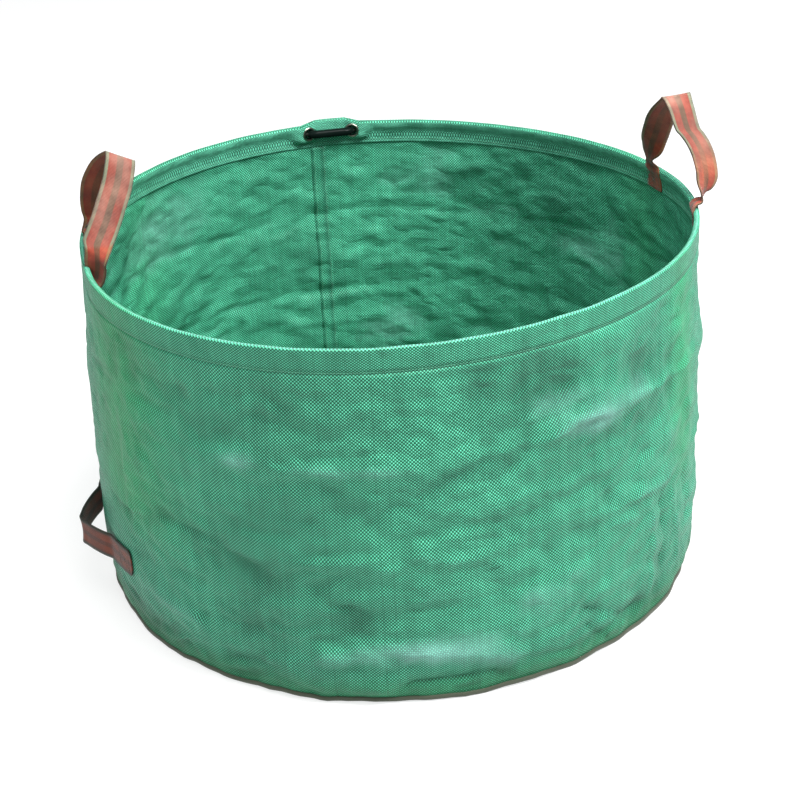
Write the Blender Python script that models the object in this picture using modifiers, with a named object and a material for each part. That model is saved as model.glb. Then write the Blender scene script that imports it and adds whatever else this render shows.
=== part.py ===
"""Pop-up leaf bag: a woven fabric tub held open by a sprung hoop, with striped webbing handles.

Metres, +Z up. The origin is the middle of the base, on the floor. The two ends of the hoop meet
at the back (+Y side), a carrying handle stands at each side and a tipping handle sits low on the
left. Azimuths are degrees from +X towards +Y.
"""
import math

import bmesh
import bpy
from mathutils import Matrix, Vector

OBJECT_NAME = "pop_up_leaf_bag"

# Overall sizes
STANDING_HEIGHT = 0.477
BASE_SEAM_RADIUS = 0.404
BELLY_SWELL = 0.006
RIM_DRAW_IN = 0.004
BELLY_RADIUS = BASE_SEAM_RADIUS + BELLY_SWELL
RIM_RADIUS = BASE_SEAM_RADIUS - RIM_DRAW_IN
RIM_SWELL = 0.0067
RIM_LOBES = 3
RING_STEPS = 72

# Cloth, and the gap that touching pieces keep
FABRIC = 0.0010
SEAT = 0.0003

# Base panel: flat, with its edge turned up to the seam
BASE_CORNER = 0.0080
BASE_TURN_UP = 0.0070
BASE_CORNER_SHARES = (0.81, 0.43)

# Binding over the seam allowance, inside the bottom corner
BINDING_THICKNESS = 0.0020
BINDING_HEIGHT = 0.014
BINDING_PLAY = 0.0016
BINDING_LIFT_PLAY = 0.0005

# Storage folds that stay as soft ridges round the wall
FOLD_RIDGE = 0.0020
FOLD_HALF_HEIGHT = 0.022
FOLD_HEIGHT_SHARES = (0.44, 0.71)
BELLY_HEIGHT_SHARE = 0.20
FOOT_FLARE_HEIGHT = 0.018
FOOT_FLARE_SHARE = 0.75

# Upright seam at the back, with its lap inside
SEAM_AZIMUTH = 103.5
SEAM_LAP_WIDTH = 0.022
SEAM_LAP_FOOT = 0.020
SEAM_LAP_GAP = 0.0012
SEAM_THREAD_SHARE = 0.64

# Hem round the hoop
HEM_DEPTH = 0.030
HEM_TAIL = 0.004
STITCH_RISE = 0.002
ROLL_RADIUS = 0.0050
THREAD_RADIUS = 0.0005

# Inside faces of the hem's two leaves: how close they lie where the hem is sewn and where it is
# empty, and how the tight hem narrows from the roll to its stitching (in, down)
SEWN_LEAF_GAP = 0.0008
EMPTY_LEAF_GAP = 0.0012
NARROWING_SHARES = ((0.22, 0.29), (0.74, 0.78))
SQUARE_CORNER_SHARE = 0.20

# Eyelets in the hem's inner leaf
JOINT_AZIMUTH = 100.75
EYELET_OFFSET = 0.033
EYELET_BORE_RADIUS = 0.0075
EYELET_WALL = 0.0006
EYELET_FLANGE_RADIUS = 0.0110
EYELET_FLANGE = 0.0007
EYELET_EDGE = 0.0015
WASHER_STEP = 0.0010
WASHER_THICKNESS = 0.0008
EYELET_SIDES = 28

# Hoop: it leaves the hem through one eyelet and goes back through the other
HOOP_RADIUS = 0.0027
HOOP_PLAY = 0.0009
HOOP_END_GAP = 0.0010
LEAF_RAMP = 0.022
RAMP_FADE = 0.022
HOOP_LEAD_OUT = 0.0091
HOOP_LEAD_IN = 0.0149
HOOP_BEND_SHARES = (0, 0.12, 0.25, 0.4, 0.6, 0.75, 0.88, 1)
HOOP_FADE_SHARES = (0.33, 0.66, 1)
JOINT_BULGE = 0.0063

# Sleeve over the hoop's ends
SLEEVE_WALL = 0.0030
SLEEVE_END_WALL = 0.0006
SLEEVE_BODY = 0.018
SLEEVE_NECK = 0.007
SLEEVE_PLAY = 0.0018
SLEEVE_SIDES = 14

# Webbing and its sewn ends
WEBBING_WIDTH = 0.038
WEBBING_THICKNESS = 0.0016
SEWN_THICKNESS = 0.0026
SEWN_OVERRUN = 0.003
SEWN_NECK_WIDTH = 0.016
SEWN_COLUMNS = 4
BOX_INSET = 0.005
GATHER_WIDTH = 0.012
GATHER_RADIUS = 0.0025
GATHER_LENGTH = 0.010
FLARE_LENGTH = 0.046
KNUCKLE_GAP = 0.0010
KNUCKLE_ANGLES = (70, 45, 22)
THICKNESS_FADE = 1.6

# Carrying handles
RIGHT_AZIMUTH = 8.5
LEFT_AZIMUTH = 188.5
HANDLE_HALF_ANGLE = 11.0
HINGE_RISE = 0.0060
HANDLE_HEIGHT = 0.125
HANDLE_BOW = 0.012
RIGHT_LEAN = 6.0
LEFT_LEAN = -25.0

# Tipping handle, low on the left
BASE_HANDLE_AZIMUTH = 196.0
BASE_HANDLE_HALF_ANGLE = 10.0
BASE_HANDLE_HEIGHT = 0.098
BASE_HANDLE_REACH = 0.034
BASE_SEWN_LENGTH = 0.038

# A carrying loop from root to root: along the rim, outward, and up
CARRY_LOOP_SHARES = (
    (-1.00, 0.00, 0.00), (-1.00, 0.00, 0.08), (-1.02, 0.30, 0.19), (-1.02, 0.75, 0.40),
    (-0.89, 0.60, 0.66), (-0.58, 0.20, 0.89), (-0.17, 0.00, 1.00), (0.26, 0.15, 0.975),
    (0.67, 0.65, 0.83), (0.93, 1.00, 0.59), (1.03, 0.90, 0.37), (1.03, 0.35, 0.19),
    (1.00, 0.00, 0.08), (1.00, 0.00, 0.00),
)
# The tipping loop from root to root: along the wall, up, and outward
TIP_LOOP_SHARES = (
    (-1.00, 0.00, 0.00), (-1.00, 0.00, 0.24), (-0.96, 0.00, 0.45), (-0.80, 0.00, 0.68),
    (-0.50, 0.00, 0.88), (-0.12, 0.00, 1.00), (0.28, 0.00, 0.97), (0.64, 0.00, 0.78),
    (0.90, 0.00, 0.54), (0.99, 0.00, 0.24), (1.00, 0.00, 0.00),
)
RUN_SAMPLES = 3

GREEN = (0.060, 0.300, 0.180, 1.0)
DARK_GREEN = (0.030, 0.170, 0.100, 1.0)
CORAL = (0.420, 0.110, 0.075, 1.0)
BLACK = (0.010, 0.013, 0.011, 1.0)
STEEL = (0.600, 0.610, 0.590, 1.0)


def clear_scene():
    for thing in list(bpy.data.objects):
        bpy.data.objects.remove(thing, do_unlink=True)


def new_collection(name):
    group = bpy.data.collections.new(name)
    bpy.context.scene.collection.children.link(group)
    return group


def material(name, colour, roughness, metallic=0.0):
    made = bpy.data.materials.new(name)
    made.use_nodes = True
    shader = made.node_tree.nodes["Principled BSDF"]
    shader.inputs["Base Color"].default_value = colour
    shader.inputs["Roughness"].default_value = roughness
    shader.inputs["Metallic"].default_value = metallic
    return made


clear_scene()
PARTS = new_collection(OBJECT_NAME)
CUTTERS = new_collection("cutters")
WOVEN = material("woven_green", GREEN, 0.55)
WEBBING = material("striped_webbing", CORAL, 0.70)
THREAD = material("sewing_thread", DARK_GREEN, 0.60)
ROD = material("hoop_rod", BLACK, 0.35)
SLEEVE = material("sleeve_vinyl", BLACK, 0.30)
NICKEL = material("plated_steel", STEEL, 0.25, 1.0)

MID = FABRIC / 2
FACET_SHARE = math.cos(math.pi / RING_STEPS)
FACET_LIFT = RIM_RADIUS * (1 - FACET_SHARE)
UP = Vector((0, 0, 1))


# Places on and round the tub
def swell(azimuth, height):
    """How far the hoop's soft corners push the cloth out at this azimuth and height."""
    return RIM_SWELL * math.cos(RIM_LOBES * math.radians(azimuth)) * height / STANDING_HEIGHT


def place(azimuth, radius, height):
    turn = math.radians(azimuth)
    reach = radius + swell(azimuth, height)
    return Vector((reach * math.cos(turn), reach * math.sin(turn), height))


def rim_angle(length):
    """Degrees round the rim that span this length of its edge."""
    return math.degrees(length / RIM_RADIUS)


def from_joint(azimuth):
    """Distance along the rim from the hoop's joint."""
    turn = (azimuth - JOINT_AZIMUTH + 180) % 360 - 180
    return math.radians(turn) * RIM_RADIUS


def smooth(share):
    share = min(1.0, max(0.0, share))
    return share * share * (3 - 2 * share)


def mix(low, high, share):
    return low + (high - low) * share


def ring_azimuths():
    return [360 * step / RING_STEPS for step in range(RING_STEPS)]


# Making solids
def add_piece(name, data, finish, group=None):
    data.materials.append(finish)
    piece = bpy.data.objects.new(name, data)
    (group or PARTS).objects.link(piece)
    return piece


def add_mesh(name, mesh, finish, group=None, closed=True):
    data = bpy.data.meshes.new(name)
    if closed:
        bmesh.ops.recalc_face_normals(mesh, faces=mesh.faces[:])
    mesh.to_mesh(data)
    mesh.free()
    data.shade_smooth()
    data.set_sharp_from_angle(angle=math.radians(35))
    return add_piece(name, data, finish, group)


def loft(name, sections, finish, ring=False):
    """A solid skinned over unlike sections, each a closed line of points."""
    mesh = bmesh.new()
    lines = [[mesh.verts.new(point) for point in section] for section in sections]
    pairs = list(zip(lines, lines[1:]))
    if ring:
        pairs.append((lines[-1], lines[0]))
    count = len(lines[0])
    for here, there in pairs:
        for i in range(count):
            j = (i + 1) % count
            mesh.faces.new((here[i], here[j], there[j], there[i]))
    if not ring:
        mesh.faces.new(list(reversed(lines[0])))
        mesh.faces.new(lines[-1])
    return add_mesh(name, mesh, finish)


def strip(name, columns, rows, where, thickness, finish):
    """A flat strip bent to its place: where gives a point of its near face, by the column's
    place across from -1 to 1 and the row's number."""
    mesh = bmesh.new()
    bmesh.ops.create_grid(mesh, x_segments=columns, y_segments=rows, size=1)
    for vert in mesh.verts:
        row = round((vert.co.y + 1) / 2 * rows)
        vert.co = where(vert.co.x, row)
    piece = add_mesh(name, mesh, finish, closed=False)
    thicken = piece.modifiers.new("thickness", "SOLIDIFY")
    thicken.thickness = thickness
    thicken.offset = 1
    thicken.use_even_offset = True
    return piece


def turned(name, profile, finish, steps, closed):
    """A turned solid about Z: the profile runs down its outer side, top to bottom."""
    data = bpy.data.meshes.new(name)
    edges = [(i, i + 1) for i in range(len(profile) - 1)]
    if closed:
        edges.append((len(profile) - 1, 0))
    data.from_pydata([(radius, 0, height) for radius, height in profile], edges, [])
    piece = add_piece(name, data, finish)
    screw = piece.modifiers.new("turn", "SCREW")
    screw.steps = steps
    screw.render_steps = steps
    screw.use_merge_vertices = True
    screw.merge_threshold = 0.00001
    screw.use_smooth_shade = True
    return piece


def turned_cloth(name, profile, finish, closed=True):
    """A turned piece of the tub, pushed out at the hoop's soft corners."""
    blank = turned(name + "_blank", profile, finish, RING_STEPS, closed)
    bpy.context.view_layer.update()
    data = bpy.data.meshes.new_from_object(
        blank.evaluated_get(bpy.context.evaluated_depsgraph_get())
    )
    bpy.data.objects.remove(blank, do_unlink=True)
    mesh = bmesh.new()
    mesh.from_mesh(data)
    bpy.data.meshes.remove(data)
    for vert in mesh.verts:
        reach = math.hypot(vert.co.x, vert.co.y)
        azimuth = math.degrees(math.atan2(vert.co.y, vert.co.x))
        grown = 1 + swell(azimuth, vert.co.z) / RIM_RADIUS
        vert.co.x = reach * grown * math.cos(math.radians(azimuth))
        vert.co.y = reach * grown * math.sin(math.radians(azimuth))
    return add_mesh(name, mesh, finish)


def tube(name, points, radius, finish, cyclic=False, resolution=0):
    """A curve object with a round section along these points."""
    data = bpy.data.curves.new(name, "CURVE")
    data.dimensions = "3D"
    data.bevel_depth = radius
    data.bevel_resolution = resolution
    data.use_fill_caps = not cyclic
    line = data.splines.new("POLY")
    line.points.add(len(points) - 1)
    for knot, point in zip(line.points, points):
        knot.co = (*point, 1)
    line.use_cyclic_u = cyclic
    return add_piece(name, data, finish)


# Joints: an empty on each joint's axis carries the pieces that move with it
def joint_empty(name, matrix, parent=None):
    empty = bpy.data.objects.new(name, None)
    PARTS.objects.link(empty)
    empty.parent = parent
    if parent:
        empty.matrix_parent_inverse = parent.matrix_world.inverted()
    empty.matrix_world = matrix
    bpy.context.view_layer.update()
    return empty


def ride(piece, empty, local=False):
    """Parent a piece to an empty: one made in world places, or in the empty's own frame."""
    piece.parent = empty
    if not local:
        piece.matrix_parent_inverse = empty.matrix_world.inverted()
    return piece


# Layers that follow a line in the plane of one azimuth
def offset_line(line, distance):
    """The line of (radius, height) points moved sideways, to its right as it runs."""
    moved = []
    for i, (radius, height) in enumerate(line):
        sides = []
        for a, b in ((i - 1, i), (i, i + 1)):
            if 0 <= a and b < len(line):
                run = Vector((line[b][0] - line[a][0], line[b][1] - line[a][1])).normalized()
                sides.append(Vector((run.y, -run.x)))
        normal = sum(sides, Vector((0, 0))).normalized()
        stretch = distance / max(normal.dot(sides[0]), 0.5)
        moved.append((radius + normal.x * stretch, height + normal.y * stretch))
    return moved


def blend_lines(first, second, share):
    return [(mix(a[0], b[0], share), mix(a[1], b[1], share)) for a, b in zip(first, second)]


# Base panel, its bound seam and the thread
BASE_CORNER_RADIUS = BASE_SEAM_RADIUS - BASE_CORNER * (1 - BASE_CORNER_SHARES[0])
BASE_CORNER_HEIGHT = BASE_TURN_UP * BASE_CORNER_SHARES[1]


def base_panel():
    flat = BASE_SEAM_RADIUS - BASE_CORNER
    profile = [
        (0, FABRIC), (flat, FABRIC),
        (BASE_CORNER_RADIUS - FABRIC, BASE_CORNER_HEIGHT + FABRIC),
        (BASE_SEAM_RADIUS - FABRIC, BASE_TURN_UP), (BASE_SEAM_RADIUS, BASE_TURN_UP),
        (BASE_CORNER_RADIUS, BASE_CORNER_HEIGHT), (flat, 0), (0, 0),
    ]
    return turned_cloth("base_panel", profile, WOVEN, closed=False)


BINDING_OUTER = BASE_SEAM_RADIUS - FABRIC - BINDING_PLAY
BINDING_INNER = BINDING_OUTER - BINDING_THICKNESS
BINDING_FOOT = BASE_CORNER_HEIGHT + FABRIC + BINDING_LIFT_PLAY
BINDING_HEAD = BINDING_FOOT + BINDING_HEIGHT


def base_seam_binding():
    corner = BINDING_THICKNESS / 2
    profile = [
        (BINDING_INNER + corner, BINDING_HEAD), (BINDING_OUTER, BINDING_HEAD - corner),
        (BINDING_OUTER, BINDING_FOOT), (BINDING_INNER, BINDING_FOOT),
        (BINDING_INNER, BINDING_HEAD - corner),
    ]
    return turned_cloth("base_seam_binding", profile, WOVEN)


def base_seam_stitching():
    radius = BINDING_INNER - SEAT - THREAD_RADIUS
    height = (BINDING_FOOT + BINDING_HEAD) / 2
    points = [place(a, radius, height) for a in ring_azimuths()]
    return tube("base_seam_stitching", points, THREAD_RADIUS, THREAD, cyclic=True)


# Wall
WALL_FOOT = BASE_TURN_UP + SEAT
HEM_FOOT = STANDING_HEIGHT - HEM_DEPTH
WALL_HEAD = HEM_FOOT - SEAT


def wall_line():
    """(radius, height) down the outside of the wall, from the hem to the base seam."""
    line = [(RIM_RADIUS, WALL_HEAD)]
    for share in reversed(FOLD_HEIGHT_SHARES):
        crest = mix(WALL_FOOT, WALL_HEAD, share)
        plain = mix(BELLY_RADIUS, RIM_RADIUS, share * share)
        line.append((plain, crest + FOLD_HALF_HEIGHT))
        line.append((plain + FOLD_RIDGE, crest))
        line.append((plain, crest - FOLD_HALF_HEIGHT))
    line.append((BELLY_RADIUS, mix(WALL_FOOT, WALL_HEAD, BELLY_HEIGHT_SHARE)))
    flare = mix(BASE_SEAM_RADIUS, BELLY_RADIUS, FOOT_FLARE_SHARE)
    line.append((flare, WALL_FOOT + FOOT_FLARE_HEIGHT))
    line.append((BASE_SEAM_RADIUS, WALL_FOOT))
    return line


def wall_radius(height):
    """Outer radius of the wall at this height."""
    line = wall_line()
    for (high_radius, high), (low_radius, low) in zip(line, line[1:]):
        if low <= height <= high:
            return mix(low_radius, high_radius, (height - low) / (high - low))
    return BASE_SEAM_RADIUS


def wall_panel():
    outer = wall_line()
    inner = [(radius - FABRIC, height) for radius, height in reversed(outer)]
    return turned_cloth("wall_panel", outer + inner, WOVEN)


def seam_lap_line():
    """(radius, height) of the wall's facets down the lap, from under the hem to its foot."""
    head = HEM_FOOT - HEM_TAIL - SEAM_LAP_GAP
    middle = [(r, h) for r, h in wall_line() if SEAM_LAP_FOOT < h < head]
    line = [(wall_radius(head), head)] + middle + [(wall_radius(SEAM_LAP_FOOT), SEAM_LAP_FOOT)]
    return [(radius * FACET_SHARE, height) for radius, height in line]


LAP_INSET = FABRIC + SEAT


def wall_seam_lap():
    line = seam_lap_line()
    half = rim_angle(SEAM_LAP_WIDTH / 2)

    def where(across, row):
        radius, height = line[row]
        return place(SEAM_AZIMUTH + across * half, radius - LAP_INSET, height)

    return strip("wall_seam_lap", 2, len(line) - 1, where, FABRIC, WOVEN)


def wall_seam_stitching():
    inset = LAP_INSET + FABRIC + SEAT + THREAD_RADIUS
    azimuth = SEAM_AZIMUTH + rim_angle(SEAM_THREAD_SHARE * SEAM_LAP_WIDTH / 2)
    line = seam_lap_line()
    line[0] = (line[0][0], line[0][1] - THREAD_RADIUS)
    line[-1] = (line[-1][0], line[-1][1] + THREAD_RADIUS)
    points = [place(azimuth, radius - inset, height) for radius, height in line]
    return tube("wall_seam_stitching", points, THREAD_RADIUS, THREAD)


# Hem: three shapes of its middle line, each from the foot of the outer leaf over the top
OUTER_MID = RIM_RADIUS - MID
ROLL_MID = OUTER_MID - ROLL_RADIUS
INNER_MID = ROLL_MID - ROLL_RADIUS
ROLL_CENTRE = STANDING_HEIGHT - MID - ROLL_RADIUS
STITCH_MID = OUTER_MID - FABRIC - SEWN_LEAF_GAP
EMPTY_MID = OUTER_MID - FABRIC - EMPTY_LEAF_GAP
STITCH_HEIGHT = HEM_FOOT + STITCH_RISE
WASHER_RADIUS = EYELET_FLANGE_RADIUS - WASHER_STEP
EYELET_HEIGHT = STANDING_HEIGHT - EYELET_FLANGE_RADIUS - EYELET_EDGE


def leaf_foot():
    """The end of every line: the inner leaf at the stitching, and its raw tail below."""
    return [(STITCH_MID, STITCH_HEIGHT), (STITCH_MID, HEM_FOOT - HEM_TAIL)]


def hem_line_round():
    """The hem drawn tight over the hoop, like a drop."""
    side = ROLL_RADIUS * math.sin(math.radians(45))
    narrowing = [
        (mix(INNER_MID, STITCH_MID, across), mix(ROLL_CENTRE, STITCH_HEIGHT, down))
        for across, down in NARROWING_SHARES
    ]
    return [
        (OUTER_MID, HEM_FOOT), (OUTER_MID, ROLL_CENTRE),
        (ROLL_MID + side, ROLL_CENTRE + side), (ROLL_MID, ROLL_CENTRE + ROLL_RADIUS),
        (ROLL_MID - side, ROLL_CENTRE + side), (INNER_MID, ROLL_CENTRE),
    ] + narrowing + leaf_foot()


def hem_line_square():
    """The hem where an eyelet pulls its inner leaf upright."""
    top = STANDING_HEIGHT - MID
    corner = ROLL_RADIUS * SQUARE_CORNER_SHARE
    upper = EYELET_HEIGHT + WASHER_RADIUS + SEAT
    lower = EYELET_HEIGHT - WASHER_RADIUS - SEAT
    return [
        (OUTER_MID, HEM_FOOT), (OUTER_MID, upper - corner),
        (OUTER_MID - corner, top - corner / 2), (ROLL_MID, top),
        (INNER_MID + corner, top - corner / 2), (INNER_MID, upper),
        (INNER_MID, (upper + lower) / 2), (INNER_MID, lower),
    ] + leaf_foot()


def hem_line_flat():
    """The empty hem between the eyelets, pressed flat and standing a little higher."""
    top = STANDING_HEIGHT + JOINT_BULGE
    middle = (OUTER_MID + EMPTY_MID) / 2
    quarter = (OUTER_MID - EMPTY_MID) / 4
    lower = EYELET_HEIGHT - WASHER_RADIUS - SEAT
    return [
        (OUTER_MID, HEM_FOOT), (OUTER_MID, top - 3 * FABRIC),
        (OUTER_MID - quarter, top - FABRIC), (middle, top),
        (EMPTY_MID + quarter, top - FABRIC), (EMPTY_MID, top - 3 * FABRIC),
        (EMPTY_MID, (top + lower) / 2), (EMPTY_MID, lower),
    ] + leaf_foot()


RAMP_START = EYELET_OFFSET + LEAF_RAMP / 2
RAMP_END = EYELET_OFFSET - LEAF_RAMP / 2
FADE_START = RAMP_START + RAMP_FADE


def hem_line(along):
    """The hem's middle line at this distance along the rim from the hoop's joint."""
    away = abs(along)
    if away >= RAMP_START:
        share = smooth((FADE_START - away) / RAMP_FADE)
        return blend_lines(hem_line_round(), hem_line_square(), share)
    share = min(1.0, (RAMP_START - away) / LEAF_RAMP)
    return blend_lines(hem_line_square(), hem_line_flat(), share)


def hem_azimuths():
    """Even steps round the rim, and closer ones through the hoop's joint."""
    stops = (0, RAMP_END / 2, RAMP_END, EYELET_OFFSET, RAMP_START,
             (RAMP_START + FADE_START) / 2, FADE_START)
    near = [JOINT_AZIMUTH + side * rim_angle(stop) for stop in stops for side in (-1, 1)]
    even = [a for a in ring_azimuths() if abs(from_joint(a)) > FADE_START]
    return sorted(set(near + even))


def eyelet_frame(side):
    """Where an eyelet sits: square to the slanting inner leaf, its Z pointing inwards."""
    ends = []
    for stop in (RAMP_START, RAMP_END):
        radius = hem_line(stop)[6][0]
        azimuth = JOINT_AZIMUTH + side * rim_angle(stop)
        ends.append(place(azimuth, radius, EYELET_HEIGHT))
    middle = (ends[0] + ends[1]) / 2
    along = (ends[1] - ends[0]).normalized()
    inward = along.cross(UP)
    if inward.dot(Vector((middle.x, middle.y, 0))) > 0:
        inward.negate()
    basis = Matrix((along, inward.cross(along), inward)).transposed().to_4x4()
    return Matrix.Translation(middle) @ basis


def rim_hem():
    sections = []
    for azimuth in hem_azimuths():
        line = hem_line(from_joint(azimuth))
        section = offset_line(line, -MID) + list(reversed(offset_line(line, MID)))
        sections.append([place(azimuth, radius, height) for radius, height in section])
    hem = loft("rim_hem", sections, WOVEN, ring=True)
    for side in (-1, 1):
        cut = hem.modifiers.new("eyelet_hole", "BOOLEAN")
        cut.object = eyelet_hole_cutter(side)
        cut.operation = "DIFFERENCE"
        cut.solver = "EXACT"
    return hem


def eyelet_hole_cutter(side):
    mesh = bmesh.new()
    hole = EYELET_BORE_RADIUS + EYELET_WALL + SEAT
    bmesh.ops.create_cone(
        mesh, cap_ends=True, segments=EYELET_SIDES, radius1=hole, radius2=hole, depth=4 * FABRIC,
    )
    cutter = add_mesh("eyelet_hole_cutter", mesh, NICKEL, CUTTERS)
    cutter.matrix_world = eyelet_frame(side)
    cutter.hide_render = True
    cutter.display_type = "WIRE"
    return cutter


def hem_stitching():
    reach = RIM_RADIUS + SEAT + THREAD_RADIUS
    points = [place(a, reach, STITCH_HEIGHT) for a in hem_azimuths()]
    return tube("hem_stitching", points, THREAD_RADIUS, THREAD, cyclic=True)


# Hoop, sleeve and eyelets
SLEEVE_RADIUS = HOOP_RADIUS + SEAT + SLEEVE_WALL
HEM_HOOP_RADIUS = RIM_RADIUS - FABRIC - HOOP_PLAY - HOOP_RADIUS
FRONT_HOOP_RADIUS = EMPTY_MID - MID - SLEEVE_PLAY - SLEEVE_RADIUS


def hoop_place(along):
    """The hoop's middle at this distance along the rim from its joint."""
    lead = HOOP_LEAD_OUT + HOOP_LEAD_IN
    inwards = smooth((EYELET_OFFSET + HOOP_LEAD_OUT - abs(along)) / lead)
    down = smooth((FADE_START - abs(along)) / RAMP_FADE)
    azimuth = JOINT_AZIMUTH + rim_angle(along)
    radius = mix(HEM_HOOP_RADIUS, FRONT_HOOP_RADIUS, inwards)
    return place(azimuth, radius, mix(ROLL_CENTRE, EYELET_HEIGHT, down))


def rim_hoop():
    outer = EYELET_OFFSET + HOOP_LEAD_OUT
    inner = EYELET_OFFSET - HOOP_LEAD_IN
    bend = [mix(outer, inner, share) for share in HOOP_BEND_SHARES]
    fade = [mix(outer, FADE_START, share) for share in HOOP_FADE_SHARES]
    near = [HOOP_END_GAP / 2] + sorted(bend + fade)
    even = [from_joint(a) for a in ring_azimuths() if abs(from_joint(a)) > FADE_START]
    ahead = sorted(stop for stop in even if stop > 0)
    behind = sorted(stop for stop in even if stop < 0)
    stops = near + ahead + behind + [-stop for stop in reversed(near)]
    return tube("rim_hoop", [hoop_place(stop) for stop in stops], HOOP_RADIUS, ROD, resolution=2)


def sleeve_ring(along, reach):
    """A ring of points round the hoop."""
    run = (hoop_place(along + SEAT) - hoop_place(along - SEAT)).normalized()
    across = run.cross(UP).normalized()
    upright = across.cross(run)
    ring = []
    for step in range(SLEEVE_SIDES):
        turn = 2 * math.pi * step / SLEEVE_SIDES
        spoke = across * math.cos(turn) + upright * math.sin(turn)
        ring.append(hoop_place(along) + spoke * reach)
    return ring


def hoop_sleeve():
    """A moulded tube over the hoop's two ends, necked where it runs into the eyelets."""
    bore = HOOP_RADIUS + SEAT
    half = SLEEVE_BODY + SLEEVE_NECK
    ahead = [SLEEVE_BODY / 2, SLEEVE_BODY, SLEEVE_BODY + SLEEVE_NECK / 2, half]
    stops = [-stop for stop in reversed(ahead)] + [0] + ahead
    outer = []
    for stop in stops:
        neck = smooth((abs(stop) - SLEEVE_BODY) / SLEEVE_NECK)
        outer.append(sleeve_ring(stop, bore + mix(SLEEVE_WALL, SLEEVE_END_WALL, neck)))
    inner = [sleeve_ring(stop, bore) for stop in reversed(stops)]
    return loft("hoop_sleeve", outer + inner, SLEEVE, ring=True)


def eyelet(name, side):
    face = MID + SEAT
    back = MID + 2 * SEAT + WASHER_THICKNESS
    outer = EYELET_BORE_RADIUS + EYELET_WALL
    crown = face + EYELET_FLANGE
    profile = [
        (EYELET_BORE_RADIUS, crown - EYELET_WALL / 2), (outer, crown),
        (EYELET_FLANGE_RADIUS - EYELET_WALL, crown), (EYELET_FLANGE_RADIUS, face),
        (outer, face), (outer, -back), (EYELET_BORE_RADIUS, -back),
    ]
    piece = turned(name, profile, NICKEL, EYELET_SIDES, True)
    piece.matrix_world = eyelet_frame(side)
    return piece


def eyelet_washer(name, side):
    near = -(MID + SEAT)
    far = near - WASHER_THICKNESS
    inner = EYELET_BORE_RADIUS + EYELET_WALL + SEAT
    profile = [(inner, near), (WASHER_RADIUS, near), (WASHER_RADIUS, far), (inner, far)]
    piece = turned(name, profile, NICKEL, EYELET_SIDES, True)
    piece.matrix_world = eyelet_frame(side)
    return piece


# Sewn ends of the carrying handles, inside the hem
SEWN_HEAD = STANDING_HEIGHT + HINGE_RISE - GATHER_RADIUS - KNUCKLE_GAP
SEWN_FOOT = HEM_FOOT - SEWN_OVERRUN
HINGE_RADIUS = INNER_MID - MID - SEAT - FACET_LIFT - SEWN_THICKNESS / 2


def sewn_line():
    """The inner leaf's middle line that a sewn end lies on, from its head to its foot."""
    along_leaf = hem_line_round()[5:9]
    head = [(INNER_MID, SEWN_HEAD), (INNER_MID, STANDING_HEIGHT)]
    return head + along_leaf + [(STITCH_MID, SEWN_FOOT)]


def sewn_place(azimuth, across, point):
    """A point of a sewn end, which is narrower towards its head."""
    radius, height = point
    neck = smooth((height - STANDING_HEIGHT) / (SEWN_HEAD - STANDING_HEIGHT))
    half = rim_angle(mix(WEBBING_WIDTH, SEWN_NECK_WIDTH, neck) / 2)
    return place(azimuth + across * half, radius, height)


def handle_sewn_end(name, azimuth):
    line = offset_line(sewn_line(), MID + SEAT + FACET_LIFT)

    def where(across, row):
        return sewn_place(azimuth, across, line[row])

    return strip(name, SEWN_COLUMNS, len(line) - 1, where, SEWN_THICKNESS, WEBBING)


def box_of_thread(name, columns, up_line, where):
    """A box of thread sewn through the end of the webbing."""
    inner = [2 * step / columns - 1 for step in range(1, columns)]
    rise = [where(-1, point) for point in up_line]
    head = [where(across, up_line[-1]) for across in inner]
    drop = [where(1, point) for point in reversed(up_line)]
    foot = [where(-across, up_line[0]) for across in inner]
    return tube(name, rise + head + drop + foot, THREAD_RADIUS, THREAD, cyclic=True)


def handle_box_stitching(name, azimuth):
    face = MID + SEAT + FACET_LIFT + SEWN_THICKNESS + SEAT + THREAD_RADIUS
    line = offset_line(sewn_line(), face)[2:6]
    inset = 1 - 2 * BOX_INSET / WEBBING_WIDTH

    def where(across, point):
        return sewn_place(azimuth, across * inset, point)

    return box_of_thread(name, SEWN_COLUMNS, list(reversed(line)), where)


# Webbing loops
def catmull(points, samples):
    """A smooth curve through the points."""
    knots = [points[0] * 2 - points[1]] + points + [points[-1] * 2 - points[-2]]
    made = []
    for a, b, c, d in zip(knots, knots[1:], knots[2:], knots[3:]):
        for step in range(samples):
            t = step / samples
            made.append((b * 2 + (c - a) * t + (a * 2 - b * 5 + c * 4 - d) * t ** 2
                         + (b * 3 - a - c * 3 + d) * t ** 3) / 2)
    return made + [points[-1]]


def strap_section(middle, run, width, thickness, twist):
    """Corners of a strap: at no twist its width lies along the hinge, at a quarter turn along Y."""
    level = Vector((0, 1, 0))
    level = (level - run * level.dot(run)).normalized()
    side = run.cross(level)
    wide = side * math.cos(twist) + level * math.sin(twist)
    thin = run.cross(wide)
    halves = ((-0.5, -0.5), (0.5, -0.5), (0.5, 0.5), (-0.5, 0.5))
    return [middle + wide * (x * width) + thin * (y * thickness) for x, y in halves]


def knuckle_sections(middle, run):
    """The half-round end of a gathered strap, from its tip towards the hinge."""
    sections = []
    for angle in KNUCKLE_ANGLES:
        back = middle - run * (GATHER_RADIUS * math.sin(math.radians(angle)))
        depth = 2 * GATHER_RADIUS * math.cos(math.radians(angle))
        sections.append(strap_section(back, run, GATHER_WIDTH, depth, 0.0))
    return sections


def matched(section, before):
    """The section's corners in the order that lies closest to the section before."""
    best = None
    for corners in (section, list(reversed(section))):
        for shift in range(len(corners)):
            turned_corners = corners[shift:] + corners[:shift]
            strain = sum((a - b).length for a, b in zip(turned_corners, before))
            if best is None or strain < best[0]:
                best = (strain, turned_corners)
    return best[1]


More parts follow.
